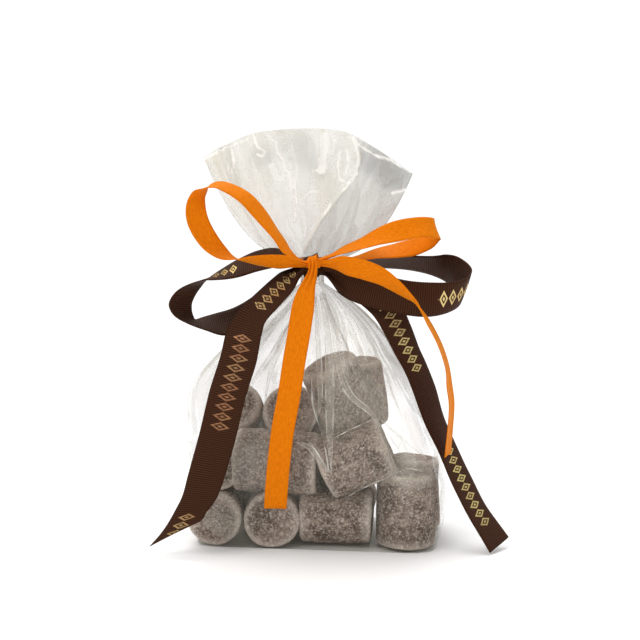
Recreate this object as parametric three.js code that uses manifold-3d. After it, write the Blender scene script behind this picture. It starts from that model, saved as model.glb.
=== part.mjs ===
// A clear block-bottomed gift bag of chocolate truffles, tied at the neck with two ribbon bows.
// Millimetres, +Z up. The origin is the middle of the flat base, and the front faces -Y.
import * as THREE from "three";
import { LoftGeometry } from "three/addons/geometries/LoftGeometry.js";
import { mergeVertices } from "three/addons/utils/BufferGeometryUtils.js";
import Module from "manifold-3d";

const wasm = await Module();
wasm.setup();

// ---- Driving dimensions ----

const NECK_X = -3.5; // the tie sits a little left of the middle of the base
const NECK_RADIUS = 5; // the gathered film under the ribbons
const NECK_BOTTOM = 117;
const NECK_TOP = 128; // the film fans out above this
const NECK_CREASES = 11; // gathers round the neck
const CREASE_DEPTH = 0.5;

const SATIN_WIDTH = 10; // the orange ribbon
const GROSGRAIN_WIDTH = 16; // the brown ribbon
const RIBBON_THICKNESS = 0.8;
const PINCH_LENGTH = 16; // how far from its knot a ribbon is still squeezed together
const PINCHED_SHARE = 0.4; // the share of its width that is left at the knot

// Level sections of the body: its sides, its front and back, how square its corners are,
// and how deep the folds that run down from the neck are.
const BODY_SECTIONS = [
  { z: 0, left: -54, right: 55, front: -29, back: 29, square: 9, fold: 0 },
  { z: 7, left: -56, right: 57, front: -31.5, back: 31, square: 7, fold: 0.1 },
  { z: 22, left: -57.5, right: 58, front: -33, back: 32, square: 6, fold: 0.3 },
  { z: 45, left: -58.5, right: 51.5, front: -33, back: 31, square: 5, fold: 0.6 },
  { z: 67, left: -58.5, right: 43, front: -29.5, back: 27.5, square: 4.2, fold: 0.9 },
  { z: 80, left: -50, right: 37.5, front: -25, back: 23, square: 3.4, fold: 1.2 },
  { z: 93, left: -37, right: 30, front: -18.5, back: 17.5, square: 2.8, fold: 1.3 },
  { z: 106, left: -22, right: 18, front: -11, back: 11, square: 2.2, fold: 1 },
  { z: NECK_BOTTOM, left: -9, right: 2, front: -5.5, back: 5.5, square: 2, fold: 0.4 },
];
const BODY_LEVELS = 25;
const FOLD_WAVES = [
  { count: 9, size: 0.6, shift: 0.6 },
  { count: 17, size: 0.4, shift: 2.1 },
];

// The swellings where truffles press against the film: x, side (-1 front, 1 back), z, radius, height.
const SWELLINGS = [
  { x: 20, side: -1, z: 52, radius: 17, height: 1.6 },
  { x: -22, side: -1, z: 49, radius: 18, height: 1.2 },
  { x: -24, side: -1, z: 17, radius: 15, height: 1.2 },
  { x: 12, side: -1, z: 17, radius: 15, height: 1.4 },
  { x: 44, side: -1, z: 26, radius: 16, height: 1.4 },
  { x: 15, side: -1, z: 82, radius: 15, height: 1.5 },
  { x: -36, side: 1, z: 20, radius: 17, height: 1.4 },
  { x: 2, side: 1, z: 26, radius: 17, height: 1.4 },
  { x: 36, side: 1, z: 22, radius: 17, height: 1.4 },
  { x: -14, side: 1, z: 58, radius: 16, height: 1.3 },
  { x: 22, side: 1, z: 60, radius: 16, height: 1.3 },
];

// The fan of film above the tie: the points of its top edge, from the left tip to the right one.
const FAN_EDGE = new THREE.CatmullRomCurve3(
  [
    [-53.5, 174],
    [-42, 180],
    [-29, 185],
    [-6.5, 187],
    [11, 185.5],
    [24, 179],
    [42, 167],
  ].map(([x, z]) => new THREE.Vector3(x, 0, z)),
);
const FAN_LEVELS = 15;
const FAN_SPREAD = 0.4; // the power by which the fan widens with height: low is a quick flare
const FAN_THICKNESS = 5; // between the front and back film, in the middle
const FAN_EDGE_THICKNESS = 1.2;
// Pleats that run up the fan: how many cross it, how deep they are at the top, and where they start.
const FAN_PLEATS = [
  { count: 1.2, depth: 3, shift: 0.5 },
  { count: 3.7, depth: 1.8, shift: 1.7 },
  { count: 8.3, depth: 0.9, shift: 0.2 },
];
const FLAT_PANEL = { from: 0.3, to: 0.55, left: 0.25 }; // the right of the fan is almost unpleated

// Columns of points round the bag, counted on its four faces.
const FACE_COLUMNS = [16, 32, 16, 32];

// ---- The bows ----
// Each stretch of ribbon is a list of stops: x, y, z of the middle of the ribbon, then the
// direction across it. Stretches that belong to one ribbon all start in its knot.

const ORANGE_KNOT = { at: [-2.5, -19.5, 126.5], radii: [5, 3.2, 4.6] };
const BROWN_KNOT = { at: [-2.5, -11, 121.5], radii: [7, 4.8, 5.4] };

const ORANGE_LEFT_LOOP = [
  [-5, -20, 128, 0.2, -1, -0.1],
  [-11, -23.5, 133.5, -0.3, -1, 0.1],
  [-16, -25, 141, -0.3, -1, 0],
  [-23.5, -27, 151, -0.4, -0.9, -0.2],
  [-30.5, -29, 158.5, -0.3, -0.9, -0.3],
  [-40, -31, 163, 0, -1, -0.3],
  [-45.5, -33, 162, 0, -1, 0],
  [-49, -33, 159.5, -0.3, -0.9, 0.3],
  [-50.5, -33.5, 154, -0.7, -0.7, 0.1],
  [-49.5, -33.5, 147, -0.8, -0.5, 0.1],
  [-44.5, -32.5, 138, -0.7, -0.7, -0.2],
  [-39, -32, 133, -0.4, -0.9, -0.2],
  [-33, -31, 130.5, 0, -1, 0.1],
  [-26.5, -30, 130, 0.1, -0.9, 0.4],
  [-19.5, -28, 129.5, 0.1, -0.8, 0.6],
  [-11.5, -25, 128.5, 0, -0.8, 0.7],
  [-4.5, -20.5, 127, 0.1, -0.9, 0.4],
];
const ORANGE_RIGHT_LOOP = [
  [0, -19.5, 128.5, 0.1, -1, 0],
  [12, -19.5, 133.5, 0.2, -1, -0.2],
  [21.5, -19.5, 137, 0.2, -0.9, -0.4],
  [28.5, -19.5, 140, 0.2, -0.7, -0.6],
  [36.5, -18.5, 142.5, 0.1, -0.5, -0.9],
  [46, -14.5, 144, 0.2, -0.5, -0.8],
  [52.5, -7.5, 143, 0.3, -0.3, -0.9],
  [52.5, -0.5, 141.5, 0.3, -0.5, -0.8],
  [49.5, 3.5, 137, 0.2, -0.7, -0.7],
  [43, 4, 134, 0.1, -0.7, -0.7],
  [35.5, 0.5, 132.5, 0.1, -0.8, -0.5],
  [27, -5.5, 131.5, 0.1, -0.9, -0.3],
  [18.5, -12, 130, 0.1, -1, -0.1],
  [10, -17, 129.5, 0.1, -1, 0],
  [0.5, -19.5, 128, 0.1, -1, 0],
];
const ORANGE_FRONT_TAIL = [
  [-1.5, -21, 128, -0.2, -1, 0.1],
  [-1, -24, 122, -0.5, -0.9, 0.2],
  [-2.5, -26.5, 116.5, -0.7, -0.7, 0.1],
  [-3.5, -29, 108.5, -0.8, -0.5, 0.1],
  [-5, -32, 99.5, -1, -0.1, 0.1],
  [-7, -35, 87, -1, -0.1, 0],
  [-9, -38, 71.5, -1, -0.1, 0],
  [-11.5, -39.5, 57, -1, -0.1, 0],
  [-13.5, -40.5, 39.5, -1, -0.1, 0.1],
  [-15, -40, 21.5, -0.9, -0.4, 0.2],
];
const ORANGE_SIDE_TAIL = [
  [1, -20, 128, 0.1, -0.9, 0.4],
  [8, -22.5, 128, 0.2, -0.8, 0.6],
  [15, -25.5, 127.5, 0.2, -0.5, 0.8],
  [23, -27.5, 126, 0.4, -0.5, 0.8],
  [30.5, -29.5, 123.5, 0.5, -0.6, 0.6],
  [37.5, -30.5, 119, 0.4, -0.8, 0.5],
  [43, -31, 114.5, 0.2, -0.9, 0.3],
  [46, -30.5, 111.5, 0.1, -1, 0.2],
  [50, -29.5, 105, -0.1, -1, 0.1],
  [55, -27.5, 95.5, -0.1, -1, 0],
  [59, -25, 83.5, -0.1, -1, 0],
  [60, -24, 75, -0.2, -1, 0.1],
  [61, -23.5, 67, -0.2, -1, 0.1],
  [60.5, -23, 55.5, -0.2, -1, 0.1],
  [59.5, -23, 43.5, -0.2, -1, 0.2],
];
const BROWN_LEFT_LOOP = [
  [-7, -12, 125.5, 0.1, -1, 0],
  [-16.5, -13, 129.5, 0.2, -0.9, -0.4],
  [-24, -16, 129, 0.2, -0.8, -0.5],
  [-32, -19.5, 126.5, 0.3, -0.9, -0.4],
  [-39, -23.5, 124, 0.3, -0.9, -0.3],
  [-45, -26.5, 122, 0.2, -1, -0.1],
  [-48.5, -28.5, 120, 0.1, -1, 0],
  [-54, -30.5, 116.5, -0.2, -0.9, 0.2],
  [-58.5, -31.5, 111.5, -0.4, -0.9, 0.2],
  [-58, -31.5, 106.5, -0.4, -0.9, 0],
  [-55.5, -30.5, 102.5, -0.2, -1, 0],
  [-50.5, -29, 101.5, 0, -1, -0.2],
  [-44.5, -25.5, 101, 0.1, -0.9, -0.5],
  [-37, -21.5, 101.5, 0.1, -0.7, -0.7],
  [-30, -18, 103.5, 0.3, -0.7, -0.7],
  [-24, -15, 108.5, 0.4, -0.7, -0.6],
  [-18, -13.5, 114.5, 0.5, -0.8, -0.4],
  [-12.5, -12, 120, 0.5, -0.8, -0.3],
  [-7, -12, 123.5, 0.3, -1, -0.1],
];
const BROWN_RIGHT_LOOP = [
  [-0.5, -11, 124, 0.1, -0.9, 0.3],
  [7, -5, 125, 0.1, -0.9, 0.4],
  [14.5, 1, 125.5, 0.1, -0.9, 0.4],
  [23, 6, 126.5, 0.1, -0.9, 0.4],
  [38.5, 11, 126, 0.1, -0.9, 0.5],
  [47.5, 12, 125.5, 0.1, -0.8, 0.6],
  [56, 10, 124.5, 0.2, -0.6, 0.7],
  [62.5, 3.5, 122, 0.4, -0.6, 0.7],
  [67, -5, 118, 0.3, -0.5, 0.8],
  [65.5, -11, 115, 0.2, -0.5, 0.8],
  [59, -16.5, 113, 0.1, -0.4, 0.9],
  [49.5, -19.5, 112.5, 0, -0.2, 1],
  [39.5, -20.5, 113.5, 0.1, -0.2, 1],
  [29.5, -19, 115.5, 0.2, -0.1, 1],
  [19, -16.5, 118.5, 0.3, 0, 1],
  [10, -13.5, 122, 0.3, -0.4, 0.9],
  [1, -11.5, 124, 0.2, -0.9, 0.4],
];
const BROWN_FRONT_TAIL = [
  [-7, -13, 124, 0.3, -1, 0],
  [-17, -17.5, 123, 0.5, -0.9, -0.2],
  [-22.5, -24, 116, 0.7, -0.7, -0.2],
  [-26, -30.5, 109, 0.8, -0.5, -0.2],
  [-28.5, -35, 101, 1, 0.1, -0.2],
  [-31, -40, 87.5, 1, 0.1, -0.2],
  [-35, -43.5, 73.5, 1, 0.1, -0.2],
  [-39.5, -46, 54, 1, 0.1, -0.2],
  [-44.5, -48, 37, 1, 0.1, -0.2],
  [-47, -48, 27.5, 1, -0.2, -0.1],
  [-50.5, -47.5, 20.5, 0.8, -0.5, -0.2],
  [-56.5, -46.5, 14, 0.5, -0.8, -0.2],
  [-63, -46, 9, 0.3, -0.9, 0],
  [-70.5, -46, 3, 0.2, -1, 0.1],
];
const BROWN_SIDE_TAIL = [
  [-1, -11.5, 123.5, 0, -1, 0],
  [8, -10, 118.5, -0.3, -0.9, -0.3],
  [17.5, -10, 113, -0.5, -0.8, -0.3],
  [26.5, -10.5, 106, -0.6, -0.7, -0.3],
  [33.5, -11, 101.5, -0.6, -0.8, -0.3],
  [39, -12, 93, -0.5, -0.8, -0.2],
  [45, -12.5, 81, -0.5, -0.8, -0.1],
  [49.5, -13.5, 70, -0.5, -0.8, -0.1],
  [54, -14.5, 57, -0.5, -0.9, 0],
  [59, -15, 46.5, -0.4, -0.9, -0.1],
  [66.5, -17, 30.5, -0.4, -0.9, -0.2],
  [74, -19, 17, -0.4, -0.9, -0.2],
  [83.5, -21, 3, -0.5, -0.8, -0.2],
];

// The bands round the neck, and the strap that carries the orange bow over the brown knot.
const ORANGE_BAND = { z: 126.2, height: 2.6 };
const BROWN_BAND = { z: 120, height: 4.6 };
const BAND_GAP = 0.5; // between the film and a band
const BAND_STOPS = 16;
const ORANGE_STRAP = { width: 3.4, z: 127.6 };

// ---- Helpers ----

const { clamp, lerp, smoothstep } = THREE.MathUtils;

// A closed geometry as a manifold solid, with its doubled points merged.
function solidOf(geometry) {
  const bare = new THREE.BufferGeometry();
  bare.setAttribute("position", geometry.getAttribute("position"));
  bare.setIndex(geometry.getIndex());
  const merged = mergeVertices(bare, 1e-4);
  return new wasm.Manifold(
    new wasm.Mesh({
      numProp: 3,
      vertProperties: merged.attributes.position.array,
      triVerts: new Uint32Array(merged.index.array),
    }),
  );
}

// The triangles of a manifold solid as a geometry.
function geometryOf(solid) {
  const { vertProperties, triVerts } = solid.getMesh();
  const geometry = new THREE.BufferGeometry();
  geometry.setAttribute("position", new THREE.BufferAttribute(vertProperties, 3));
  geometry.setIndex(new THREE.BufferAttribute(triVerts, 1));
  geometry.computeVertexNormals();
  return geometry;
}

// ---- The bag ----

// The angles of the columns, spaced evenly along each face of a square.
function columnAngles() {
  const angles = [];
  FACE_COLUMNS.forEach((count, face) => {
    for (let i = 0; i < count; i++) {
      const along = lerp(-1, 1, i / count);
      angles.push(Math.atan(along) + (face * Math.PI) / 2);
    }
  });
  return angles;
}

// The body's values at a height, smooth between the level sections.
const bodyAt = (() => {
  const keys = ["left", "right", "front", "back", "square", "fold"];
  const curve = new THREE.CubicInterpolant(
    BODY_SECTIONS.map((section) => section.z),
    BODY_SECTIONS.flatMap((section) => keys.map((key) => section[key])),
    keys.length,
  );
  return (z) => {
    const values = curve.evaluate(z);
    return Object.fromEntries(keys.map((key, i) => [key, values[i]]));
  };
})();

function foldWave(angle) {
  return FOLD_WAVES.reduce((sum, { count, size, shift }) => sum + size * Math.cos(count * angle + shift), 0);
}

function swellingAt(x, y, z) {
  return SWELLINGS.reduce((sum, lump) => {
    const away = Math.hypot(x - lump.x, z - lump.z) / lump.radius;
    return Math.sign(y) === lump.side ? sum + lump.height * Math.exp(-2 * away * away) : sum;
  }, 0);
}

// A point of a rounded rectangle, seen from its middle in the direction of angle.
function bodyPoint(angle, z) {
  const { left, right, front, back, square, fold } = bodyAt(z);
  const c = Math.cos(angle);
  const s = Math.sin(angle);
  const reach = (Math.abs(c) ** square + Math.abs(s) ** square) ** (-1 / square);
  const half = { x: (right - left) / 2, y: (back - front) / 2 };
  const out = 1 + (fold * foldWave(angle)) / Math.hypot(half.x * c, half.y * s);
  const x = (left + right) / 2 + half.x * c * reach * out;
  const y = (front + back) / 2 + half.y * s * reach * out;
  return new THREE.Vector3(x, y + Math.sign(y) * swellingAt(x, y, z) * smoothstep(z, 0, 8), z);
}

function neckPoint(angle, z) {
  const radius = NECK_RADIUS + CREASE_DEPTH * Math.cos(NECK_CREASES * angle);
  return new THREE.Vector3(NECK_X + radius * Math.cos(angle), radius * Math.sin(angle), z);
}

// across runs from -1 at the left edge of the fan to 1 at the right, and rise from 0 at the neck to 1.
function pleatAt(across, rise) {
  const flat = lerp(1, FLAT_PANEL.left, smoothstep(across, FLAT_PANEL.from, FLAT_PANEL.to));
  const wave = FAN_PLEATS.reduce(
    (sum, { count, depth, shift }) => sum + depth * Math.sin(Math.PI * count * across + shift),
    0,
  );
  return wave * flat * rise;
}

function fanPoint(angle, rise) {
  const across = Math.cos(angle);
  const foot = neckPoint(angle, NECK_TOP);
  const edge = FAN_EDGE.getPoint((across + 1) / 2);
  const spread = rise ** FAN_SPREAD;
  const half = lerp(FAN_EDGE_THICKNESS, FAN_THICKNESS, Math.sqrt(1 - across * across)) / 2;
  const side = Math.sign(Math.round(Math.sin(angle) * 1e6));
  return new THREE.Vector3(
    lerp(foot.x, edge.x, spread),
    lerp(foot.y, side * half, Math.sqrt(rise)) + pleatAt(across, rise),
    lerp(NECK_TOP, edge.z, rise),
  );
}

function bagGeometry() {
  const angles = columnAngles();
  const rings = [];
  for (let i = 0; i < BODY_LEVELS; i++) {
    const z = (NECK_BOTTOM * i) / BODY_LEVELS;
    rings.push(angles.map((angle) => bodyPoint(angle, z)));
  }
  for (const z of [NECK_BOTTOM, NECK_TOP]) {
    rings.push(angles.map((angle) => neckPoint(angle, z)));
  }
  for (let i = 1; i <= FAN_LEVELS; i++) {
    rings.push(angles.map((angle) => fanPoint(angle, (i / FAN_LEVELS) ** 1.5)));
  }
  return new LoftGeometry(rings, { capStart: true, capEnd: true });
}

// ---- The ribbons ----

// A flat strip along its stops, narrower near the knot.
function strip(stops, width, knot, pinched = true) {
  const route = new THREE.CatmullRomCurve3(stops.map(([x, y, z]) => new THREE.Vector3(x, y, z)));
  const turns = new THREE.CatmullRomCurve3(stops.map((stop) => new THREE.Vector3(...stop.slice(3))));
  const heart = new THREE.Vector3(...knot.at);
  const steps = Math.round(route.getLength() / 4);
  const sections = [];
  for (let i = 0; i <= steps; i++) {
    const t = i / steps;
    const middle = route.getPoint(t);
    const along = route.getTangent(t);
    const across = turns.getPoint(t);
    across.addScaledVector(along, -across.dot(along)).normalize();
    const out = new THREE.Vector3().crossVectors(along, across);
    const opened = pinched ? smoothstep(middle.distanceTo(heart), 3, PINCH_LENGTH) : 1;
    const half = (width / 2) * lerp(PINCHED_SHARE, 1, opened);
    sections.push(
      [[-1, -1], [1, -1], [1, 1], [-1, 1]].map(([a, b]) =>
        middle
          .clone()
          .addScaledVector(across, a * half)
          .addScaledVector(out, (b * RIBBON_THICKNESS) / 2),
      ),
    );
  }
  return solidOf(new LoftGeometry(sections, { capStart: true, capEnd: true }));
}

// A band round the neck, as a short tube with a wall of one ribbon.
function neckBand({ z, height }) {
  const inner = NECK_RADIUS + CREASE_DEPTH + BAND_GAP;
  const outer = inner + RIBBON_THICKNESS;
  const profile = [
    [inner, -1],
    [outer, -1],
    [outer, 1],
    [inner, 1],
    [inner, -1],
  ].map(([radius, end]) => new THREE.Vector2(radius, (end * height) / 2));
  const band = new THREE.LatheGeometry(profile, BAND_STOPS * 2);
  band.rotateX(Math.PI / 2);
  band.translate(NECK_X, 0, z);
  return solidOf(band);
}

function knotSolid({ at, radii }) {
  const ball = new THREE.SphereGeometry(1, 20, 12);
  ball.scale(...radii);
  ball.translate(...at);
  return solidOf(ball);
}

// A strap from the front of the neck band forward into the knot.
function strapSolid({ width, z }, knot) {
  const back = -NECK_RADIUS - BAND_GAP - RIBBON_THICKNESS;
  const length = back - knot.at[1];
  const box = new THREE.BoxGeometry(width, length, RIBBON_THICKNESS);
  box.translate((NECK_X + knot.at[0]) / 2, back - length / 2, z);
  return solidOf(box);
}

function ribbonGeometry(width, knot, stretches, extras) {
  const pieces = [knotSolid(knot), ...extras, ...stretches.map((stops) => strip(stops, width, knot))];
  return geometryOf(pieces.reduce((joined, piece) => joined.add(piece)));
}

// ---- The scene graph ----

const FILM = new THREE.MeshStandardMaterial({ color: 0xe9e6df, roughness: 0.15, metalness: 0 });
const SATIN = new THREE.MeshStandardMaterial({ color: 0xf08414, roughness: 0.35, metalness: 0 });
const GROSGRAIN = new THREE.MeshStandardMaterial({ color: 0x3c2118, roughness: 0.75, metalness: 0 });

function named(name, geometry, material) {
  const mesh = new THREE.Mesh(geometry, material);
  mesh.name = name;
  return mesh;
}

const group = new THREE.Group();
group.add(
  named("bag", bagGeometry(), FILM),
  named(
    "orange_ribbon",
    ribbonGeometry(
      SATIN_WIDTH,
      ORANGE_KNOT,
      [ORANGE_LEFT_LOOP, ORANGE_RIGHT_LOOP, ORANGE_FRONT_TAIL, ORANGE_SIDE_TAIL],
      [neckBand(ORANGE_BAND), strapSolid(ORANGE_STRAP, ORANGE_KNOT)],
    ),
    SATIN,
  ),
  named(
    "brown_ribbon",
    ribbonGeometry(
      GROSGRAIN_WIDTH,
      BROWN_KNOT,
      [BROWN_LEFT_LOOP, BROWN_RIGHT_LOOP, BROWN_FRONT_TAIL, BROWN_SIDE_TAIL],
      [neckBand(BROWN_BAND)],
    ),
    GROSGRAIN,
  ),
);

export default group;
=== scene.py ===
"""A clear gift bag of dusted chocolate truffles, tied at the neck with two ribbon bows, dressed on its CAD frame.

It is laid out as an add-on and run as a script: each operator makes one piece or a group of like pieces.
"""

from functools import lru_cache, partial
from math import atan, ceil, cos, hypot, pi, radians, sin, sqrt

import bmesh
import bpy
from bpy.props import FloatProperty, FloatVectorProperty, PointerProperty
from mathutils import Matrix, Vector, noise


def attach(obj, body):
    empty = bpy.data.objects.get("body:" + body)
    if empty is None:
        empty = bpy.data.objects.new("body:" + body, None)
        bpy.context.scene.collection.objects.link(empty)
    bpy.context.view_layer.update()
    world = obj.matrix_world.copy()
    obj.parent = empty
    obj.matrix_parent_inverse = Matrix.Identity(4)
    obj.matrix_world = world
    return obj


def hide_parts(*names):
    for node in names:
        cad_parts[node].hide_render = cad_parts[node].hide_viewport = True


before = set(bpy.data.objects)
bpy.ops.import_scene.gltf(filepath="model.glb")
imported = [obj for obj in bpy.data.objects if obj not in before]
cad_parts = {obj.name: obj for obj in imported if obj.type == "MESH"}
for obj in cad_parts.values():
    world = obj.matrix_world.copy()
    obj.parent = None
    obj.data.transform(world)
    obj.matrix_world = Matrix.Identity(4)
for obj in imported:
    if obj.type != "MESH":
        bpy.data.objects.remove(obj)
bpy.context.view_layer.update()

bl_info = {
    "name": "Truffle Gift Bag",
    "version": (1, 0, 0),
    "blender": (4, 5, 0),
    "location": "View3D > Sidebar > Gift Bag",
    "description": "Makes a clear bag of dusted truffles with a satin bow and a grosgrain bow",
    "category": "Add Mesh",
}

MM = 0.001  # lengths below are in millimetres until a mesh is finished

# ---- The bag's form, as the frame has it ----

NECK_X = -3.5
NECK_RADIUS = 5
NECK_BOTTOM = 117
NECK_TOP = 128
NECK_CREASES = 11  # folds round the gathered neck
CREASE_DEPTH = 0.5

# Level sections of the body: height, left, right, front, back, squareness of the corners, depth of the folds.
BODY_SECTIONS = (
    (0, -54, 55, -29, 29, 9, 0),
    (7, -56, 57, -31.5, 31, 7, 0.1),
    (22, -57.5, 58, -33, 32, 6, 0.3),
    (45, -58.5, 51.5, -33, 31, 5, 0.6),
    (67, -58.5, 43, -29.5, 27.5, 4.2, 0.9),
    (80, -50, 37.5, -25, 23, 3.4, 1.2),
    (93, -37, 30, -18.5, 17.5, 2.8, 1.3),
    (106, -22, 18, -11, 11, 2.2, 1),
    (NECK_BOTTOM, -9, 2, -5.5, 5.5, 2, 0.4),
)
FOLD_WAVES = ((9, 0.6, 0.6), (17, 0.4, 2.1))  # count round the bag, size, shift

# Where truffles press on the film, for the front (-1) and the back (1): x, z, radius, height.
SWELLINGS = {
    -1: (
        (20, 52, 17, 1.6),
        (-22, 49, 18, 1.2),
        (-24, 17, 15, 1.2),
        (12, 17, 15, 1.4),
        (44, 26, 16, 1.4),
        (15, 82, 15, 1.5),
    ),
    1: (
        (-36, 20, 17, 1.4),
        (2, 26, 17, 1.4),
        (36, 22, 17, 1.4),
        (-14, 58, 16, 1.3),
        (22, 60, 16, 1.3),
    ),
}

FAN_EDGE = ((-53.5, 174), (-42, 180), (-29, 185), (-6.5, 187), (11, 185.5), (24, 179), (42, 167))
FAN_SPREAD = 0.4  # the lower it is, the lower down the fan opens
FAN_THICKNESS = 5
FAN_EDGE_THICKNESS = 1.2
FAN_PLEATS = ((1.2, 3, 0.5), (3.7, 1.8, 1.7), (8.3, 0.9, 0.2))  # count, depth, shift
FLAT_PANEL = (0.3, 0.55, 0.25)  # the right of the fan is almost unpleated: from, to, share left

# ---- The film's own detail ----

COLUMNS = 328
BASE_ROWS, BODY_ROWS, NECK_ROWS, FAN_ROWS = 8, 142, 12, 108
PERIMETER = 340  # round the body, which is also the width of the film that was gathered
BASE_RUN = 60  # mm of film from the middle of the bottom to its rim
BASE_MIDDLE = Vector((0.5, 0, 0))
BASE_PUCKER = 0.5  # mm that the bottom is drawn up between its middle and its rim
ROOMY_WIDTH = 95  # the body's wrinkles are at their full depth where it is at least this wide
GATHERED_FROM = 104  # the height where they start to fade into the neck
NECK_WHITE = 0.2  # how far the gathered film of the neck has whitened
FAN_ROW_POWER = 1.5  # the rows of the fan lie closer together near the neck
RING = PERIMETER / (2 * pi)
# Where the film looks milky, partly for loose film and partly as painted glare of the lamps, on the front (-1) and
# the back (1): x, z, radius, share of the light it stops.
MILKY_AND_GLARE = {
    -1: (
        (34, 71, 13, 0.14),
        (45, 54, 11, 0.35),
        (45, 36, 9, 0.14),
        (8, 66, 15, 0.14),
        (-30, 52, 16, 0.07),
        (14, 98, 18, 0.12),
        (-17, 88, 15, 0.14),
        (-18, 40, 17, 0.12),
        (-44, 6, 16, 0.12),
    ),
    1: (
        (30, 74, 15, 0.22),
        (-34, 62, 15, 0.3),
        (10, 40, 16, 0.15),
    ),
}
# The crease from the left of the neck up the fan. The film right of it is smooth, and painted grey as shade: z, x.
PANEL_CREASE = ((128, -9), (145, 0), (157, 9), (165, 16), (174, 18.5), (188, 15))
# Painted highlights along creases across the front of the fan: width in mm, then x and z of each bend.
FAN_GLINT_STREAKS = (
    (4.2, (2.2, 183.6), (1.8, 176.5), (0.9, 168.6)),
    (1.2, (6.6, 182.3), (5.7, 175.4)),
    (1.4, (9.1, 176.5), (8.2, 169.7), (9.3, 164), (13.6, 162.6), (16.8, 167.2), (17.7, 173.1), (15.9, 180.5),
     (15, 183.6)),
    (1.2, (12.1, 177.7), (13.2, 172), (11.8, 166.3)),
    (1.2, (13.6, 183.2), (20.5, 177.9), (25.6, 175.2), (31.9, 173.3), (41, 168)),
    (1.2, (-29.4, 184.3), (-27.4, 178.8), (-24.4, 176.8), (-25.6, 174.3), (-27.6, 175.6)),
    (1.3, (-25.1, 185.7), (-20, 180.9), (-18.7, 176.3), (-16.2, 172.5), (-15.1, 168)),
    (3.4, (-21.1, 170.3), (-19.6, 165.7), (-17.6, 164.6)),
    (2.2, (-13.5, 166.5), (-12.8, 160.3)),
    (1.2, (-7.1, 155.8), (-4.6, 158.3), (-0.6, 159.2)),
    (1.2, (-3.5, 168), (0.5, 169.1)),
    (1.2, (-32.5, 182.5), (-45.6, 176.8), (-53.6, 173.1)),
    (1.2, (-39.7, 177.7), (-38.8, 172), (-39.7, 166.8)),
    (1.5, (-11.4, 164), (-10.1, 153.7), (-11.4, 145.7)),
    (1.2, (33.2, 158.3), (38.7, 159.9)),
)
# Where the fan lies flat and is painted greyer as shade: x, z, radius, strength.
FAN_PAINTED_GREYS = (
    (25, 173, 7, 0.7),
    (31.5, 167.5, 7, 0.8),
    (37.5, 166, 6, 0.8),
    (-9.2, 178, 8.5, 0.4),
    (-1, 170, 6, 0.3),
    (-27, 174, 6, 0.4),
)
FACET = 13  # mm between the facets of crumpled film
FOLD = 7  # mm between the folds that run down from the neck
FINE = 3.5  # mm between the fine wrinkles among them
FAN_FOLD = 9  # mm between the folds that run up the fan
FAN_CLOSE_FOLD = 6  # mm between the closer ones among them

# Pleats of doubled film on the front (-1) and the back (1), pulled tight from the neck over the truffles. Each is a
# list of stops: x, z and width in mm.
PULLED_PLEATS = {
    -1: (
        ((1, 113, 1), (4.5, 101, 2.4), (7, 86, 3.6), (8, 68, 4), (8.5, 50, 2.6), (9.3, 37, 0.3)),
        ((3, 113, 0.8), (8, 98, 2), (12, 82, 3), (17, 71, 3), (27.5, 62, 1.8), (33, 50, 1.2), (38, 39, 0.3)),
        ((-6, 112, 1), (-12, 100, 2), (-19, 87, 2.4), (-27, 75, 1.6), (-33, 62, 0.5)),
        ((-7, 50, 0.4), (-1, 48, 2.2), (4, 42, 2.2), (9.3, 37, 0.4)),
        ((-1, 112, 0.8), (1, 96, 2), (3, 80, 2.6), (3.5, 66, 1.6), (-1.7, 52, 0.4)),
        # Hard creases without a pleat, where the film is stretched over the edges of truffles. Their pale lines are
        # painted highlights.
        ((29, 62, 0.2), (36, 55.5, 0.6), (43.5, 49, 0.5), (51, 42, 0.2)),
        ((-0.7, 80, 0.2), (0.6, 66, 0.7), (5.5, 52.7, 0.3)),
        ((-3, 53.5, 0.3), (2.8, 45.6, 0.9), (7.9, 36.8, 0.6)),
        ((4.8, 54, 0.2), (6.8, 45.6, 0.8), (8.2, 36.5, 0.6)),
        ((2.8, 49.3, 0.2), (10, 52.2, 0.4), (17, 56.1, 0.5), (29, 61.5, 0.3)),
        ((15.2, 25.4, 0.2), (22, 29.6, 0.6), (29.3, 33.2, 0.7), (37.5, 37.4, 0.3)),
        ((37.5, 37.2, 0.2), (43, 39.2, 0.7), (49, 37.6, 0.3)),
    ),
    1: (
        ((0, 112, 1), (4, 98, 2.4), (9, 84, 3.4), (13, 66, 3), (15, 48, 0.5)),
        ((-6, 112, 1), (-14, 98, 2.4), (-22, 83, 3), (-28, 68, 1.8), (-31, 52, 0.4)),
    ),
}
PLEAT_LIFT = 0.35  # mm that a pleat stands off the film behind it
HARD_CREASE = 1  # a pleat narrower than this has closed to one broken pale line
PLEAT_MILK = 0.06  # the share of the light that its second layer stops
PLEAT_PLACE = 160  # mm round the film, where the pleats take their fine wrinkles from

# ---- Truffles: centre, direction along the truffle, length, diameter. The first eight show at the front. ----

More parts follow.
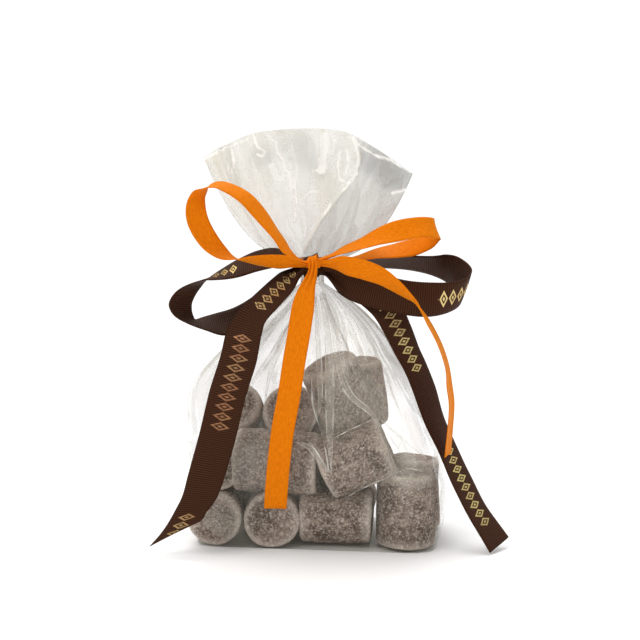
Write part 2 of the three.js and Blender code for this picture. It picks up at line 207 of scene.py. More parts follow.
TRUFFLES = (
    ((10.8, -8, 66.8), (0.37, 0.2, -0.9), 34, 26),
    ((18.3, -18.6, 40.2), (0.9, 0.08, 0.37), 31.5, 28.5),
    ((-17.5, -18.5, 37.6), (1, 0.03, -0.05), 38, 28),
    ((-43.8, -14.5, 12.6), (0.06, 1, 0), 31, 25),
    ((-19, -15, 12.8), (-0.04, 1, 0), 32, 25.5),
    ((9.6, -17.5, 12.6), (1, 0.02, 0), 32.4, 25),
    ((40.9, -16.5, 16.7), (0.02, 0.03, 1), 33, 26.4),
    ((-42.8, -14, 36.5), (0.04, 1, 0), 30, 22),
    ((42, 12, 16.6), (0, 0.03, 1), 33, 25),
    ((-38.7, 7.5, 53.2), (0, -0.87, 0.5), 31, 23.5),
    ((-13.1, 7.5, 51.1), (0, -0.87, 0.5), 31, 26.5),
    ((-42.5, 16, 17.7), (0.03, 0, 1), 35, 24.5),
    ((-18, 16.5, 17.7), (0, 0.02, 1), 35, 24.5),
    ((13.5, 12, 11.3), (0, 1, 0), 32, 22),
    ((6, 12, 34.3), (0, 1, 0), 31, 28),
    ((18.5, 13.5, 64), (0.12, 0.05, -0.99), 30.5, 21.5),
)

# ---- The bows ----
# Each stretch of ribbon is a list of stops: x, y, z of its middle, then the direction across it.

PINCH_LENGTH = 16  # how far from its knot a ribbon is still squeezed together, in mm
LONG_PINCH = 23
PINCHED_SHARE = 0.4
PLEATS_AT_KNOT = 2.5  # folds across a ribbon where it is squeezed
PLEAT_SHARE = 0.07  # their depth, as a share of its width
RIPPLE, RIPPLE_LENGTH = 0.2, 13  # mm that a ribbon waves up and down, and from wave to wave

ORANGE_KNOT = ((-0.5, -20.3, 128.2), (3.7, 2.9, 3))  # centre, radii
BROWN_KNOT = ((-2.5, -11.5, 125.6), (5.5, 4.5, 4.9))

ORANGE_LEFT_LOOP = (
    (-2, -20.3, 128.3, 0.3, -1, -0.1), (-5.5, -20.8, 128.6, 0.2, -1, -0.1), (-11, -23.5, 133.5, -0.3, -1, 0.1),
    (-16, -25, 141, -0.3, -1, 0), (-23.5, -27, 151, -0.4, -0.9, -0.2), (-30.5, -29, 158.5, -0.3, -0.9, -0.3),
    (-40, -31, 163, 0, -1, -0.3), (-45.5, -33, 162, 0, -1, 0), (-49, -33, 159.5, -0.3, -0.9, 0.3),
    (-50.5, -33.5, 154, -0.7, -0.7, 0.1), (-49.5, -33.5, 147, -0.8, -0.5, 0.1),
    (-44.5, -32.5, 138, -0.7, -0.7, -0.2), (-39, -32, 133, -0.4, -0.9, -0.2), (-33, -31, 130.5, 0, -1, 0.1),
    (-26.5, -30, 130, 0.1, -0.9, 0.4), (-19.5, -28, 129.5, 0.1, -0.8, 0.6), (-11.5, -25, 128.5, 0, -0.8, 0.7),
    (-5, -21.6, 127.6, 0.1, -0.9, 0.4), (-2, -20.5, 127.6, 0.1, -0.9, 0.4),
)
ORANGE_RIGHT_LOOP = (
    (0, -19.5, 128.5, 0.1, -1, 0), (12, -19.5, 133.5, 0.2, -1, -0.2), (21.5, -19.5, 137, 0.2, -0.9, -0.4),
    (28.5, -19.5, 140, 0.2, -0.7, -0.6), (36.5, -18.5, 142.5, 0.1, -0.5, -0.9),
    (46, -14.5, 144, 0.2, -0.5, -0.8), (52.5, -7.5, 143, 0.3, -0.3, -0.9), (52.5, -0.5, 141.5, 0.3, -0.5, -0.8),
    (49.5, 3.5, 137, 0.2, -0.7, -0.7), (43, 4, 134, 0.1, -0.7, -0.7), (35.5, 0.5, 132.5, 0.1, -0.8, -0.5),
    (27, -5.5, 131.5, 0.1, -0.9, -0.3), (18.5, -12, 130, 0.1, -1, -0.1), (10, -17, 129.5, 0.1, -1, 0),
    (0.5, -19.5, 128, 0.1, -1, 0),
)
ORANGE_FRONT_TAIL = (
    (-0.3, -21.5, 130.6, -0.9, -0.4, 0.05), (0.1, -23.6, 128.4, -0.9, -0.42, 0.05),
    (-0.3, -26, 123.6, -0.9, -0.42, 0.05), (-1.8, -28.2, 118.8, -0.93, -0.37, 0.06),
    (-3.2, -30, 113, -0.95, -0.3, 0.07), (-4.3, -31.2, 106, -1, -0.2, 0.1), (-5.2, -32.5, 99, -1, -0.1, 0.1),
    (-7, -35, 87, -1, -0.1, 0), (-9, -38, 71.5, -1, -0.1, 0), (-11.5, -39.5, 57, -1, -0.1, 0),
    (-13.5, -40.5, 39.5, -1, -0.1, 0.1), (-15, -40, 21.5, -0.95, -0.3, 0.1),
)
ORANGE_SIDE_TAIL = (
    (1, -20, 128, 0.1, -0.9, 0.4), (8, -22.5, 128, 0.2, -0.8, 0.6), (15, -25.5, 127.5, 0.2, -0.5, 0.8),
    (23, -27.5, 126, 0.4, -0.5, 0.8), (30.5, -29.5, 123.5, 0.5, -0.6, 0.6), (37.5, -30.5, 119, 0.4, -0.8, 0.5),
    (43, -31, 114.5, 0.2, -0.9, 0.3), (46, -30.5, 111.5, 0.1, -1, 0.2), (50, -29.5, 105, -0.1, -1, 0.1),
    (55, -27.5, 95.5, -0.1, -1, 0), (59, -25, 83.5, -0.1, -1, 0), (60, -24, 75, -0.2, -1, 0.1),
    (61, -23.5, 67, -0.2, -1, 0.1), (60.5, -23, 55.5, -0.2, -1, 0.1), (59.5, -23, 43.5, -0.2, -1, 0.2),
)
BROWN_LEFT_LOOP = (
    (-7, -12, 126.5, 0.1, -1, 0), (-16.5, -13, 130, 0.15, -0.9, -0.4), (-26, -14.2, 128.7, 0.11, -0.86, -0.5),
    (-34.4, -17.3, 125.7, 0.13, -0.9, -0.42), (-40.3, -20.5, 123.5, 0.18, -0.96, -0.23),
    (-44.8, -24.2, 122.1, 0.18, -0.98, -0.04), (-48.7, -27.3, 120.9, 0.08, -0.99, 0.12),
    (-53.4, -29.7, 118.1, -0.26, -0.96, 0.14), (-56.4, -31, 115, -0.39, -0.91, 0.15),
    (-58.4, -31.6, 110.9, -0.44, -0.89, 0.13), (-58.1, -31.6, 107.4, -0.4, -0.91, 0.14),
    (-56.5, -30.6, 104.3, -0.27, -0.95, 0.12), (-53.3, -29.2, 102, 0.06, -1, 0),
    (-48.7, -26, 100.8, 0.27, -0.93, -0.23), (-42.5, -22.1, 100.2, 0.32, -0.81, -0.5),
    (-35, -19.5, 101.8, 0.35, -0.75, -0.6), (-27, -16.5, 106, 0.4, -0.7, -0.6),
    (-20, -14.5, 112.5, 0.5, -0.75, -0.45), (-12.5, -12.5, 120, 0.5, -0.8, -0.3), (-7, -12, 124, 0.3, -1, -0.1),
)
BROWN_RIGHT_LOOP = (
    (-0.5, -11, 124, 0.1, -0.9, 0.3), (7, -5, 125, 0.1, -0.9, 0.4), (14.5, 1, 125.5, 0.1, -0.9, 0.4),
    (23, 6, 126.5, 0.1, -0.9, 0.4), (38.5, 11, 126, 0.1, -0.9, 0.5), (47.5, 12, 125, 0.1, -0.82, 0.57),
    (56, 10, 123.5, 0.2, -0.65, 0.65), (62.5, 3.5, 121.6, 0.4, -0.6, 0.7), (67, -5, 118, 0.3, -0.5, 0.8),
    (65.5, -11, 115, 0.2, -0.5, 0.8), (59, -16.5, 113, 0.1, -0.4, 0.9), (49.5, -19.5, 112.5, 0, -0.2, 1),
    (39.5, -20.5, 113.5, 0.1, -0.2, 1), (29.5, -19, 115.5, 0.2, -0.1, 1), (19, -16.5, 118.5, 0.3, 0, 1),
    (10, -13.5, 122, 0.3, -0.4, 0.9), (1, -11.5, 124, 0.2, -0.9, 0.4),
)
BROWN_FRONT_TAIL = (
    (-4.5, -12.5, 125, 0.3, -0.93, -0.1), (-7.3, -15, 124.2, 0.38, -0.91, -0.18),
    (-11.3, -19.5, 121.6, 0.52, -0.8, -0.3), (-14.2, -23.9, 118.5, 0.57, -0.74, -0.36),
    (-19.3, -28.6, 113.4, 0.66, -0.68, -0.33), (-26, -32.5, 106.1, 0.79, -0.56, -0.27),
    (-28.8, -35.6, 100, 0.95, -0.2, -0.18), (-31, -40, 87.5, 1, 0.05, -0.2), (-35, -43.5, 73.5, 1, 0.1, -0.2),
    (-39.5, -46, 54, 1, 0.1, -0.2), (-44.3, -47.2, 37, 1, 0, -0.12), (-47.5, -47.3, 27.4, 0.99, -0.15, 0.02),
    (-51.2, -47.7, 21, 0.97, -0.21, 0.1), (-55, -48.6, 15.7, 0.93, -0.32, 0.17),
    (-58.8, -49.5, 10.9, 0.91, -0.35, 0.21), (-63, -50.3, 6.4, 0.9, -0.37, 0.24),
)
BROWN_SIDE_TAIL = (
    (-1, -11.5, 124.5, 0, -1, -0.2), (2.2, -10.8, 124.6, 0.05, -0.89, -0.44),
    (9.4, -9.9, 122.8, -0.14, -0.7, -0.7), (17.7, -9.9, 118.9, -0.23, -0.67, -0.71),
    (25.7, -10.5, 113.4, -0.38, -0.62, -0.68), (31.5, -11.2, 107.5, -0.6, -0.68, -0.42),
    (37, -12, 97.5, -0.66, -0.74, -0.15), (41.2, -12.2, 88.4, -0.6, -0.78, -0.02),
    (45, -12.5, 81, -0.55, -0.8, -0.05), (49.5, -13.5, 70, -0.5, -0.8, -0.1), (54, -14.5, 57, -0.5, -0.9, 0),
    (59, -15, 46.5, -0.4, -0.9, -0.1), (66.5, -17, 30.5, -0.4, -0.9, -0.2), (74, -19, 17, -0.4, -0.9, -0.2),
    (83.5, -21, 3, -0.5, -0.8, -0.2),
)

# For each stretch: which side is printed, each group of marks as its start in mm, how many there are and how dull
# the foil is, how far from the knot it is squeezed, how many mm its end is cut back at the right edge, and whether
# the directions above are set square to the ribbon. Where they are not, the cloth is pulled a little on the bias.
BROWN_STRETCHES = (
    (BROWN_LEFT_LOOP, 1, ((30, 4, 0),), PINCH_LENGTH, 0, False),
    (BROWN_RIGHT_LOOP, -1, ((64, 9, 0),), PINCH_LENGTH, 0, True),
    (BROWN_FRONT_TAIL, 1, ((6, 6, 0.4), (45, 10, 0.9), (128, 4, 0.6)), PINCH_LENGTH, 13, False),
    (BROWN_SIDE_TAIL, -1, ((35, 8, 0.1), (106, 9, 0)), PINCH_LENGTH, 0, True),
)
ORANGE_STRETCHES = (
    (ORANGE_LEFT_LOOP, 1, (), PINCH_LENGTH, 0, True),
    (ORANGE_RIGHT_LOOP, 1, (), PINCH_LENGTH, 0, True),
    (ORANGE_FRONT_TAIL, 1, (), LONG_PINCH, 0, True),
    (ORANGE_SIDE_TAIL, 1, (), PINCH_LENGTH, 0, True),
)
MARK_HEIGHT = 8.4
MARK_PITCH = 4.4  # from one gold lozenge to the next
NO_MARK = -1  # a print coordinate that is off every group of marks

ORANGE_BAND = (127.2, 2.4)  # height of its middle, width
BROWN_BAND = (123.4, 4.4)
BAND_GAP = 0.5  # between the gathered film and the ribbons round it
CURL = 0.35  # mm that a ribbon's edges curl back
WRAP_SHARE, STRAP_SHARE = 0.36, 0.34  # of a ribbon's width: the turn over its knot, the stretch behind the knot

# ---- Properties ----


def linear(hex_colour):
    """An sRGB colour such as "c86414" as linear red, green, blue and alpha."""
    channels = [int(hex_colour[i : i + 2], 16) / 255 for i in (0, 2, 4)]
    return (*[c / 12.92 if c <= 0.04045 else ((c + 0.055) / 1.055) ** 2.4 for c in channels], 1)


def colour_property(name, description, hex_colour):
    return FloatVectorProperty(
        name=name, description=description, subtype="COLOR", size=4, min=0, max=1, default=linear(hex_colour)
    )


def length_property(name, description, millimetres):
    return FloatProperty(name=name, description=description, default=millimetres * MM, unit="LENGTH")


def number_property(name, description, default, **kind):
    return FloatProperty(name=name, description=description, default=default, **kind)


class GiftBagFilm(bpy.types.PropertyGroup):
    crumple: length_property("Crumple", "How deep the wrinkles in the film are", 0.75)
    fan_crumple: length_property("Fan crumple", "How deep the wrinkles in the open fan above the tie are", 1)
    haze: number_property("Haze", "Share of the light that smooth film on the body stops", 0.045, subtype="FACTOR")
    fan_haze: number_property(
        "Fan haze", "Share of the light that smooth film in the fan stops", 0.31, subtype="FACTOR"
    )
    colour: colour_property("Film colour", "Colour of loose film in the light", "dcd6c4")
    # The smooth panel's colour is a painted grey shade for the darker room it reflects.
    panel_shade_colour: colour_property("Smooth colour", "Colour of the smooth panel in the fan", "96948b")
    # The white of the creases: partly whitened film, partly painted highlights. The milky patches are painted
    # towards it too.
    crease_white_and_glint_colour: colour_property("Crease colour", "Colour of whitened creases", "fffffb")


class GiftBagTruffles(bpy.types.PropertyGroup):
    unevenness: length_property("Unevenness", "How far a truffle strays from a true cylinder", 0.55)
    rim: length_property("Rim", "Radius of the rounded rim at each end", 2.6)
    dust: colour_property("Dust", "Cocoa and sugar dust where it lies thick", "9d8b7e")
    cocoa: colour_property("Cocoa", "Dust that has taken up the fat of the chocolate", "5a463b")
    chocolate: colour_property("Chocolate", "Bare chocolate where the dust has rubbed off", "402c23")


class GiftBagRibbons(bpy.types.PropertyGroup):
    satin_width: length_property("Satin width", "Width of the orange ribbon", 10)
    grosgrain_width: length_property("Grosgrain width", "Width of the brown ribbon", 16)
    satin_thickness: length_property("Satin thickness", "Thickness of the orange ribbon", 0.3)
    grosgrain_thickness: length_property("Grosgrain thickness", "Thickness of the brown ribbon", 0.4)
    rib_pitch: length_property("Rib pitch", "From one rib of the grosgrain to the next", 1)
    orange: colour_property("Orange", "The satin's colour", "f28612")
    brown: colour_property("Brown", "The grosgrain's colour", "4a2e20")
    gold: colour_property("Gold", "The foil marks", "e8d592")


class GiftBagStage(bpy.types.PropertyGroup):
    floor_radius: length_property("Floor radius", "Radius of the pale floor", 4000)
    camera_distance: length_property("Camera distance", "From the camera to the middle of the bag", 700)
    camera_azimuth: number_property(
        "Camera azimuth", "How far right of the front it stands", radians(7), unit="ROTATION"
    )
    camera_elevation: number_property("Camera elevation", "How far it looks down", radians(8), unit="ROTATION")
    lens: number_property("Lens", "Focal length", 86, unit="CAMERA")
    key: number_property("Key light", "Power of the key softbox", 2.9, unit="POWER")
    ambient: number_property("Room light", "Brightness of the white room on the object", 0.41)


# ---- Small helpers ----


def lerp(a, b, t):
    return a + (b - a) * t


def smoothstep(value, low, high):
    t = min(1, max(0, (value - low) / (high - low)))
    return t * t * (3 - 2 * t)


def hermite(a, b, slope_a, slope_b, t):
    """A smooth step from a to b that leaves and arrives with the given slopes."""
    rise = 3 * t * t - 2 * t**3
    leave = t**3 - 2 * t * t + t
    arrive = t**3 - t * t
    return a + (b - a) * rise + slope_a * leave + slope_b * arrive


def spline(points, t):
    """The centripetal Catmull-Rom curve through points, of any number of coordinates, at t from 0 to 1."""
    last = len(points) - 1
    i = min(int(last * t), last - 1)
    here, there = points[i], points[i + 1]
    before = points[i - 1] if i > 0 else [2 * a - b for a, b in zip(here, there)]
    after = points[i + 2] if i + 2 <= last else [2 * b - a for a, b in zip(here, there)]
    near, middle, far = (
        max(1e-4, sqrt(hypot(*(b - a for a, b in zip(start, end)))))
        for start, end in ((before, here), (here, there), (there, after))
    )
    result = []
    for p0, p1, p2, p3 in zip(before, here, there, after):
        leave = (p1 - p0) / near - (p2 - p0) / (near + middle) + (p2 - p1) / middle
        arrive = (p2 - p1) / middle - (p3 - p1) / (middle + far) + (p3 - p2) / far
        result.append(hermite(p1, p2, leave * middle, arrive * middle, last * t - i))
    return result


def spots_at(spots, x, z, power, steepness=1):
    """How strong a group of round spots is at a place. Each has its x, z, radius and strength, and fades out."""
    total = 0
    for middle, height, radius, strength in spots:
        away = hypot(x - middle, z - height) / radius
        total += strength * 2.718 ** (-steepness * away**power)
    return total


def loops_of(verts):
    """The face corners round a set of vertices, face by face."""
    for face in {face for vert in verts for face in vert.link_faces}:
        yield from face.loops


def uv_layer(bm, name="UVMap"):
    return bm.loops.layers.uv.get(name) or bm.loops.layers.uv.new(name)


def make_piece(bm, name, materials, node):
    """Turns a finished bmesh in millimetres into a smooth-shaded piece in metres that rides on the bag."""
    bmesh.ops.scale(bm, vec=(MM, MM, MM), verts=bm.verts)
    mesh = bpy.data.meshes.new(name)
    bm.to_mesh(mesh)
    bm.free()
    mesh.shade_smooth()
    for material in materials:
        mesh.materials.append(material)
    piece = bpy.data.objects.new(name, mesh)
    bpy.context.scene.collection.objects.link(piece)
    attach(piece, "root")
    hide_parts(node)
    return piece


# ---- Materials ----

WAVE_PERIOD = 0.314  # m from band to band of a wave texture at scale 1


def feed(node, inputs):
    """Gives a node's sockets their values, other nodes' outputs, or nodes, which stand for their first output."""
    for socket, source in inputs.items():
        if isinstance(source, bpy.types.Node):
            source = source.outputs[0]
        if isinstance(source, bpy.types.NodeSocket):
            node.id_data.links.new(source, node.inputs[socket])
        else:
            node.inputs[socket].default_value = source


def add_node(tree, kind, inputs=None, **settings):
    """Adds a shader node to a tree, with its settings and links."""
    node = tree.nodes.new("ShaderNode" + kind)
    for name, value in settings.items():
        setattr(node, name, value)
    feed(node, inputs or {})
    return node


def new_material(name):
    """A material, its one Principled shader, and add_node for its own tree."""
    material = bpy.data.materials.new(name)
    material.use_nodes = True
    tree = material.node_tree
    return material, tree.nodes["Principled BSDF"], partial(add_node, tree)


def film_material(film):
    """Cellophane, cast as a thin clear sheet and crumpled by hand: it shows as a faint grey haze with
    sharp reflections. Along its creases it is painted white, partly for whitened film and partly as painted
    highlights."""
    material, shader, add = new_material("crumpled_cellophane")
    uv = add("UVMap", uv_map="UVMap")
    # Wrinkles run up the film: about 8 mm apart and 20 mm long.
    stretched = add("Mapping", {"Vector": uv, "Scale": (130, 50, 1)})
    wrinkle = add("TexNoise", {"Vector": stretched, "Scale": 1, "Detail": 1.5, "Distortion": 1.2})
    off_line = add("Math", {0: wrinkle, 1: 0.5}, operation="SUBTRACT")
    distance = add("Math", {0: off_line}, operation="ABSOLUTE")
    wrinkle_line = add("MapRange", {"Value": distance, "From Max": 0.012, "To Min": 0.6, "To Max": 0})
    # Facets about 12 mm wide and 24 mm high, where the sheet was crushed: each has its own grey, partly for layers
    # of film lying over each other and partly as a painted reflection of its facet.
    warp = add("TexNoise", {"Vector": uv, "Scale": 55, "Detail": 2}).outputs["Color"]
    warped = add("VectorMath", {0: warp, 1: (0.012, 0.02, 0), 2: uv}, operation="MULTIPLY_ADD")
    drawn = add("Mapping", {"Vector": warped, "Scale": (80, 42, 1)})
    facets = add("TexVoronoi", {"Vector": drawn, "Scale": 1})
    facet_edge = add("TexVoronoi", {"Vector": drawn, "Scale": 1}, feature="DISTANCE_TO_EDGE")
    facet_line = add("MapRange", {"Value": facet_edge, "From Max": 0.03, "To Min": 0.35, "To Max": 0})
    shade = add("SeparateXYZ", {0: facets.outputs["Color"]})
    # Only some creases turn white: partly whitened film, partly painted highlights.
    worn = add("TexNoise", {"Vector": uv, "Scale": 42, "Detail": 2})
    whitening_and_glint = add("MapRange", {"Value": worn, "From Min": 0.53, "From Max": 0.74})
    lines = add("Math", {0: wrinkle_line, 1: facet_line}, operation="MAXIMUM")
    white_lines = add("Math", {0: lines, 1: whitening_and_glint}, operation="MULTIPLY")
    ridge = add("Attribute", attribute_name="crease").outputs["Fac"]
    creases = add("Math", {0: white_lines, 1: ridge}, operation="MAXIMUM")
    # Haze: more in the fan, where the film was never pulled smooth.
    place = add("TexCoord").outputs["Object"]
    height = add("SeparateXYZ", {0: place}).outputs["Z"]
    climb = {"Value": height, "From Min": 0.07, "From Max": 0.125, "To Min": film.haze, "To Max": film.fan_haze}
    haze = add("MapRange", climb)
    cloud = add("TexNoise", {"Vector": uv, "Scale": 26, "Detail": 4})
    patchy = add("Math", {0: shade, 1: 0.45, 2: cloud}, operation="MULTIPLY_ADD")
    uneven = add("MapRange", {"Value": patchy, "From Min": 0.35, "From Max": 1.05, "To Min": 0.6, "To Max": 1.45})
    # The milky patches hold haze of loose and doubled film, and painted glare of the lamps.
    milk_and_glare = add("Attribute", attribute_name="milk_and_glare").outputs["Fac"]
    # The smooth panel is painted greyer and a little hazier, as painted shade.
    smooth = add("Attribute", attribute_name="grey_panel_shade").outputs["Fac"]
    greyed = add("Math", {0: smooth, 1: 0.1, 2: haze}, operation="MULTIPLY_ADD")
    veil = add("Math", {0: greyed, 1: milk_and_glare}, operation="ADD")
    clouded = add("Math", {0: veil, 1: uneven}, operation="MULTIPLY")
    # Film seen edge on stops more light, as a clear sheet does.
    glancing = add("LayerWeight", {"Blend": 0.3})
    thick = add("Math", {0: glancing, 1: 0.28, 2: clouded}, operation="MULTIPLY_ADD")
    alpha = add("Math", {0: creases, 1: 0.62, 2: thick}, operation="MULTIPLY_ADD", use_clamp=True)
    calm = add("Mix", {0: smooth, 6: film.colour[:], 7: film.panel_shade_colour[:]}, data_type="RGBA").outputs[2]
    # Creases are painted towards white, partly for whitened film and partly as painted highlights; the milky patches
    # take painted glare.
    pale = add("Math", {0: creases, 1: milk_and_glare}, operation="ADD", use_clamp=True)
    colour = add("Mix", {0: pale, 6: calm, 7: film.crease_white_and_glint_colour[:]}, data_type="RGBA").outputs[2]
    folded = add("Math", {0: facet_edge, 1: 2.2, 2: wrinkle}, operation="MULTIPLY_ADD")
    bump = add("Bump", {"Height": folded, "Strength": 0.6, "Distance": 0.8 * MM})
    surface = {"Base Color": colour, "Alpha": alpha, "Normal": bump, "Roughness": 0.13, "IOR": 1.47}
    gloss = {"Specular IOR Level": 1, "Coat Weight": 1, "Coat Roughness": 0.05}
    feed(shader, surface | gloss)
    return material


def dusted_chocolate_material(truffles):
    """Soft chocolate truffle rolled in cocoa and fine sugar: matt, mottled where the dust has caked or
    rubbed off, with pale specks of sugar."""
    material, shader, add = new_material("dusted_chocolate")
    place = add("TexCoord").outputs["Object"]
    # Dust cakes in patches about 4 mm across, and has rubbed off in broader ones.
    caked = add("TexNoise", {"Vector": place, "Scale": 240, "Detail": 8, "Roughness": 0.8})
    patch = add("MapRange", {"Value": caked, "From Min": 0.42, "From Max": 0.58})
    dusted = add("Mix", {0: patch, 6: truffles.cocoa[:], 7: truffles.dust[:]}, data_type="RGBA").outputs[2]
    rubbed = add("TexNoise", {"Vector": place, "Scale": 52, "Detail": 9, "Roughness": 0.74})
    # The rims are paler: less of the bare chocolate and more of the pale sugar colour.
    rim = add("Attribute", attribute_name="rim").outputs["Fac"]
    rim_adjusted_rubbing = add("Math", {0: rim, 1: -0.05, 2: rubbed}, operation="MULTIPLY_ADD")
    bare = add("MapRange", {"Value": rim_adjusted_rubbing, "From Min": 0.49, "From Max": 0.6, "To Max": 0.85})
    browned = add("Mix", {0: bare, 6: dusted, 7: truffles.chocolate[:]}, data_type="RGBA").outputs[2]
    # Sugar is finer than 0.2 mm. Its specks are drawn about 1 mm across so that they show.
    grains = add("TexNoise", {"Vector": place, "Scale": 950, "Detail": 4, "Roughness": 0.8})
    sugar = add("MapRange", {"Value": grains, "From Min": 0.5, "From Max": 0.64, "To Max": 0.75})
    rim_and_sugar_paleness = add("Math", {0: rim, 1: 0.6, 2: sugar}, operation="MULTIPLY_ADD", use_clamp=True)
    colour = add("Mix", {0: rim_and_sugar_paleness, 6: browned, 7: linear("dcd0c4")}, data_type="RGBA").outputs[2]
    lumps = add("TexNoise", {"Vector": place, "Scale": 420, "Detail": 5, "Roughness": 0.6})
    relief = add("Math", {0: grains, 1: 0.35, 2: lumps}, operation="MULTIPLY_ADD")
    bump = add("Bump", {"Height": relief, "Strength": 0.7, "Distance": 0.7 * MM})
    surface = {"Base Color": colour, "Normal": bump, "Roughness": 0.85, "IOR": 1.45, "Specular IOR Level": 0.3}
    feed(shader, surface)
    return material


def satin_material(ribbons):
    """Polyester satin, woven with long floats along the ribbon: a soft sheen that moves with every
    turn, over a diagonal weave almost too fine to see."""
    material, shader, add = new_material("orange_polyester_satin")
    uv = add("UVMap", uv_map="UVMap")
    # Threads lie 0.2 mm apart; the diagonal of the weave is drawn at 0.55 mm so that it shows.
    turned = add("Mapping", {"Vector": uv, "Rotation": (0, 0, radians(38))})
    twill = add("TexWave", {"Vector": turned, "Scale": WAVE_PERIOD / (0.55 * MM), "Distortion": 0.6})
    slub = add("Mapping", {"Vector": uv, "Scale": (500, 1400, 1)})
    floats = add("TexNoise", {"Vector": slub, "Scale": 1, "Detail": 3})
    weave = add("Math", {0: twill.outputs["Fac"], 1: 0.5, 2: floats}, operation="MULTIPLY_ADD")
    shade = add("MapRange", {"Value": weave, "From Min": 0.4, "From Max": 1.1})
    colour = add("Mix", {0: shade, 6: linear("ce6708"), 7: ribbons.orange[:]}, data_type="RGBA").outputs[2]
    bump = add("Bump", {"Height": weave, "Strength": 0.25, "Distance": 0.15 * MM})
    surface = {"Base Color": colour, "Normal": bump, "Roughness": 0.5, "IOR": 1.5}
    gloss = {"Specular IOR Level": 0.04, "Specular Tint": linear("ffc030")}
    sheen = {"Sheen Weight": 0.3, "Sheen Roughness": 0.4, "Sheen Tint": linear("ffc43c")}
    feed(shader, surface | gloss | sheen)
    return material


def grosgrain_material(ribbons, printed):
    """Polyester grosgrain, woven with a thick weft: ribs run straight across it and catch the light one
    by one. On its printed side groups of hot-pressed foil lozenges follow each other along the middle."""
    material, shader, add = new_material("brown_grosgrain_printed" if printed else "brown_grosgrain")
    uv = add("UVMap", uv_map="UVMap")
    ribs = add("TexWave", {"Vector": uv, "Scale": WAVE_PERIOD / ribbons.rib_pitch}).outputs["Fac"]
    threads = add("Mapping", {"Vector": uv, "Scale": (900, 2600, 1)})
    yarn = add("TexNoise", {"Vector": threads, "Scale": 1, "Detail": 2})
    # The ribs are painted lighter and the valleys between them darker, as painted light and shade over the ribs'
    # bump; the yarn noise is the thread's own tone.
    lit = add("Math", {0: yarn, 1: 0.5, 2: ribs}, operation="MULTIPLY_ADD")
    shade = add("MapRange", {"Value": lit, "From Min": 0.1, "From Max": 1.3})
    cloth = add("Mix", {0: shade, 6: linear("23130c"), 7: ribbons.brown[:]}, data_type="RGBA").outputs[2]
    surface = {"Roughness": 0.62}
    if printed:
        mark = foil_mark(add)
        # The foil is painted duller and coppery in random patches, as painted shade where it turns from the light,
        # and in the groups that are listed duller.
        turned = add("TexNoise", {"Vector": uv, "Scale": 38, "Detail": 1})
        patchy = add("MapRange", {"Value": turned, "From Min": 0.4, "From Max": 0.6, "To Max": 0.4})
        worn = add("Attribute", attribute_name="dull_foil_group").outputs["Fac"]
        dull = add("Math", {0: worn, 1: patchy}, operation="ADD", use_clamp=True)
        foil = add("Mix", {0: dull, 6: ribbons.gold[:], 7: linear("94694c")}, data_type="RGBA").outputs[2]
        cloth = add("Mix", {0: mark, 6: cloth, 7: foil}, data_type="RGBA").outputs[2]
        metal = add("Math", {0: mark, 1: 0.75}, operation="MULTIPLY")
        rough = add("MapRange", {"Value": mark, "To Min": 0.62, "To Max": 0.38})
        surface = {"Metallic": metal, "Roughness": rough}
    bump = add("Bump", {"Height": lit, "Strength": 0.45, "Distance": 0.25 * MM})
    gloss = {"IOR": 1.5, "Specular IOR Level": 0.15, "Specular Tint": linear("d0a080")}
    sheen = {"Sheen Weight": 0.02, "Sheen Roughness": 0.5, "Sheen Tint": linear("b9825a")}
    feed(shader, {"Base Color": cloth, "Normal": bump} | surface | gloss | sheen)
    return material


def foil_mark(add):
    """Where the foil lies: outlined lozenges in a row, each with a dot in its middle. It reads the print
    coordinates, which start at each group of marks and are negative between groups. add puts nodes in the tree."""
    spot = add("SeparateXYZ", {0: add("UVMap", uv_map="print")}).outputs
    step = add("Math", {0: spot["X"], 1: 1 / (MARK_PITCH * MM)}, operation="MULTIPLY")
    cell = add("Math", {0: step}, operation="FRACT")
    off_middle = add("Math", {0: cell, 1: 0.5}, operation="SUBTRACT")
    wide = add("Math", {0: off_middle}, operation="ABSOLUTE")
    tall = add("Math", {0: spot["Y"]}, operation="ABSOLUTE")
    reach = add("Math", {0: tall, 1: 2 / (MARK_HEIGHT * MM)}, operation="MULTIPLY")
    size = add("Math", {0: wide, 1: 2.3, 2: reach}, operation="MULTIPLY_ADD")
    line = add("Math", {0: size, 1: 0.82, 2: 0.2}, operation="COMPARE")
    dot = add("Math", {0: size, 1: 0.3}, operation="LESS_THAN")
    shape = add("Math", {0: line, 1: dot}, operation="MAXIMUM")
    inside = add("Math", {0: spot["X"], 1: 0}, operation="GREATER_THAN")
    return add("Math", {0: shape, 1: inside}, operation="MULTIPLY")


def floor_material():
    """Matt white card, as a photographer's table is covered with: even, with the faintest tooth."""
    material, shader, add = new_material("white_card")
    place = add("TexCoord").outputs["Object"]
    tooth = add("TexNoise", {"Vector": place, "Scale": 400, "Detail": 2})
    colour = add("Mix", {0: tooth, 6: linear("fafafa"), 7: linear("fdfdfd")}, data_type="RGBA").outputs[2]
    feed(shader, {"Base Color": colour, "Roughness": 0.9, "Specular IOR Level": 0.1})
    return material


# ---- The film's form ----


@lru_cache(maxsize=None)
def section_at(z):
    """The body's left, right, front, back, squareness and fold depth at a height."""
    last = len(BODY_SECTIONS) - 2
    low = min(last, max([i for i in range(last + 1) if BODY_SECTIONS[i][0] <= z] or [0]))
    before, here, there, after = (
        BODY_SECTIONS[min(last + 1, max(0, i))] for i in (low - 1, low, low + 1, low + 2)
    )
    span = there[0] - here[0]
    values = []
    for k in range(1, 7):
        slope_here = (there[k] - before[k]) / (there[0] - before[0]) * span
        slope_there = (after[k] - here[k]) / (after[0] - here[0]) * span
        values.append(hermite(here[k], there[k], slope_here, slope_there, (z - here[0]) / span))
    return values


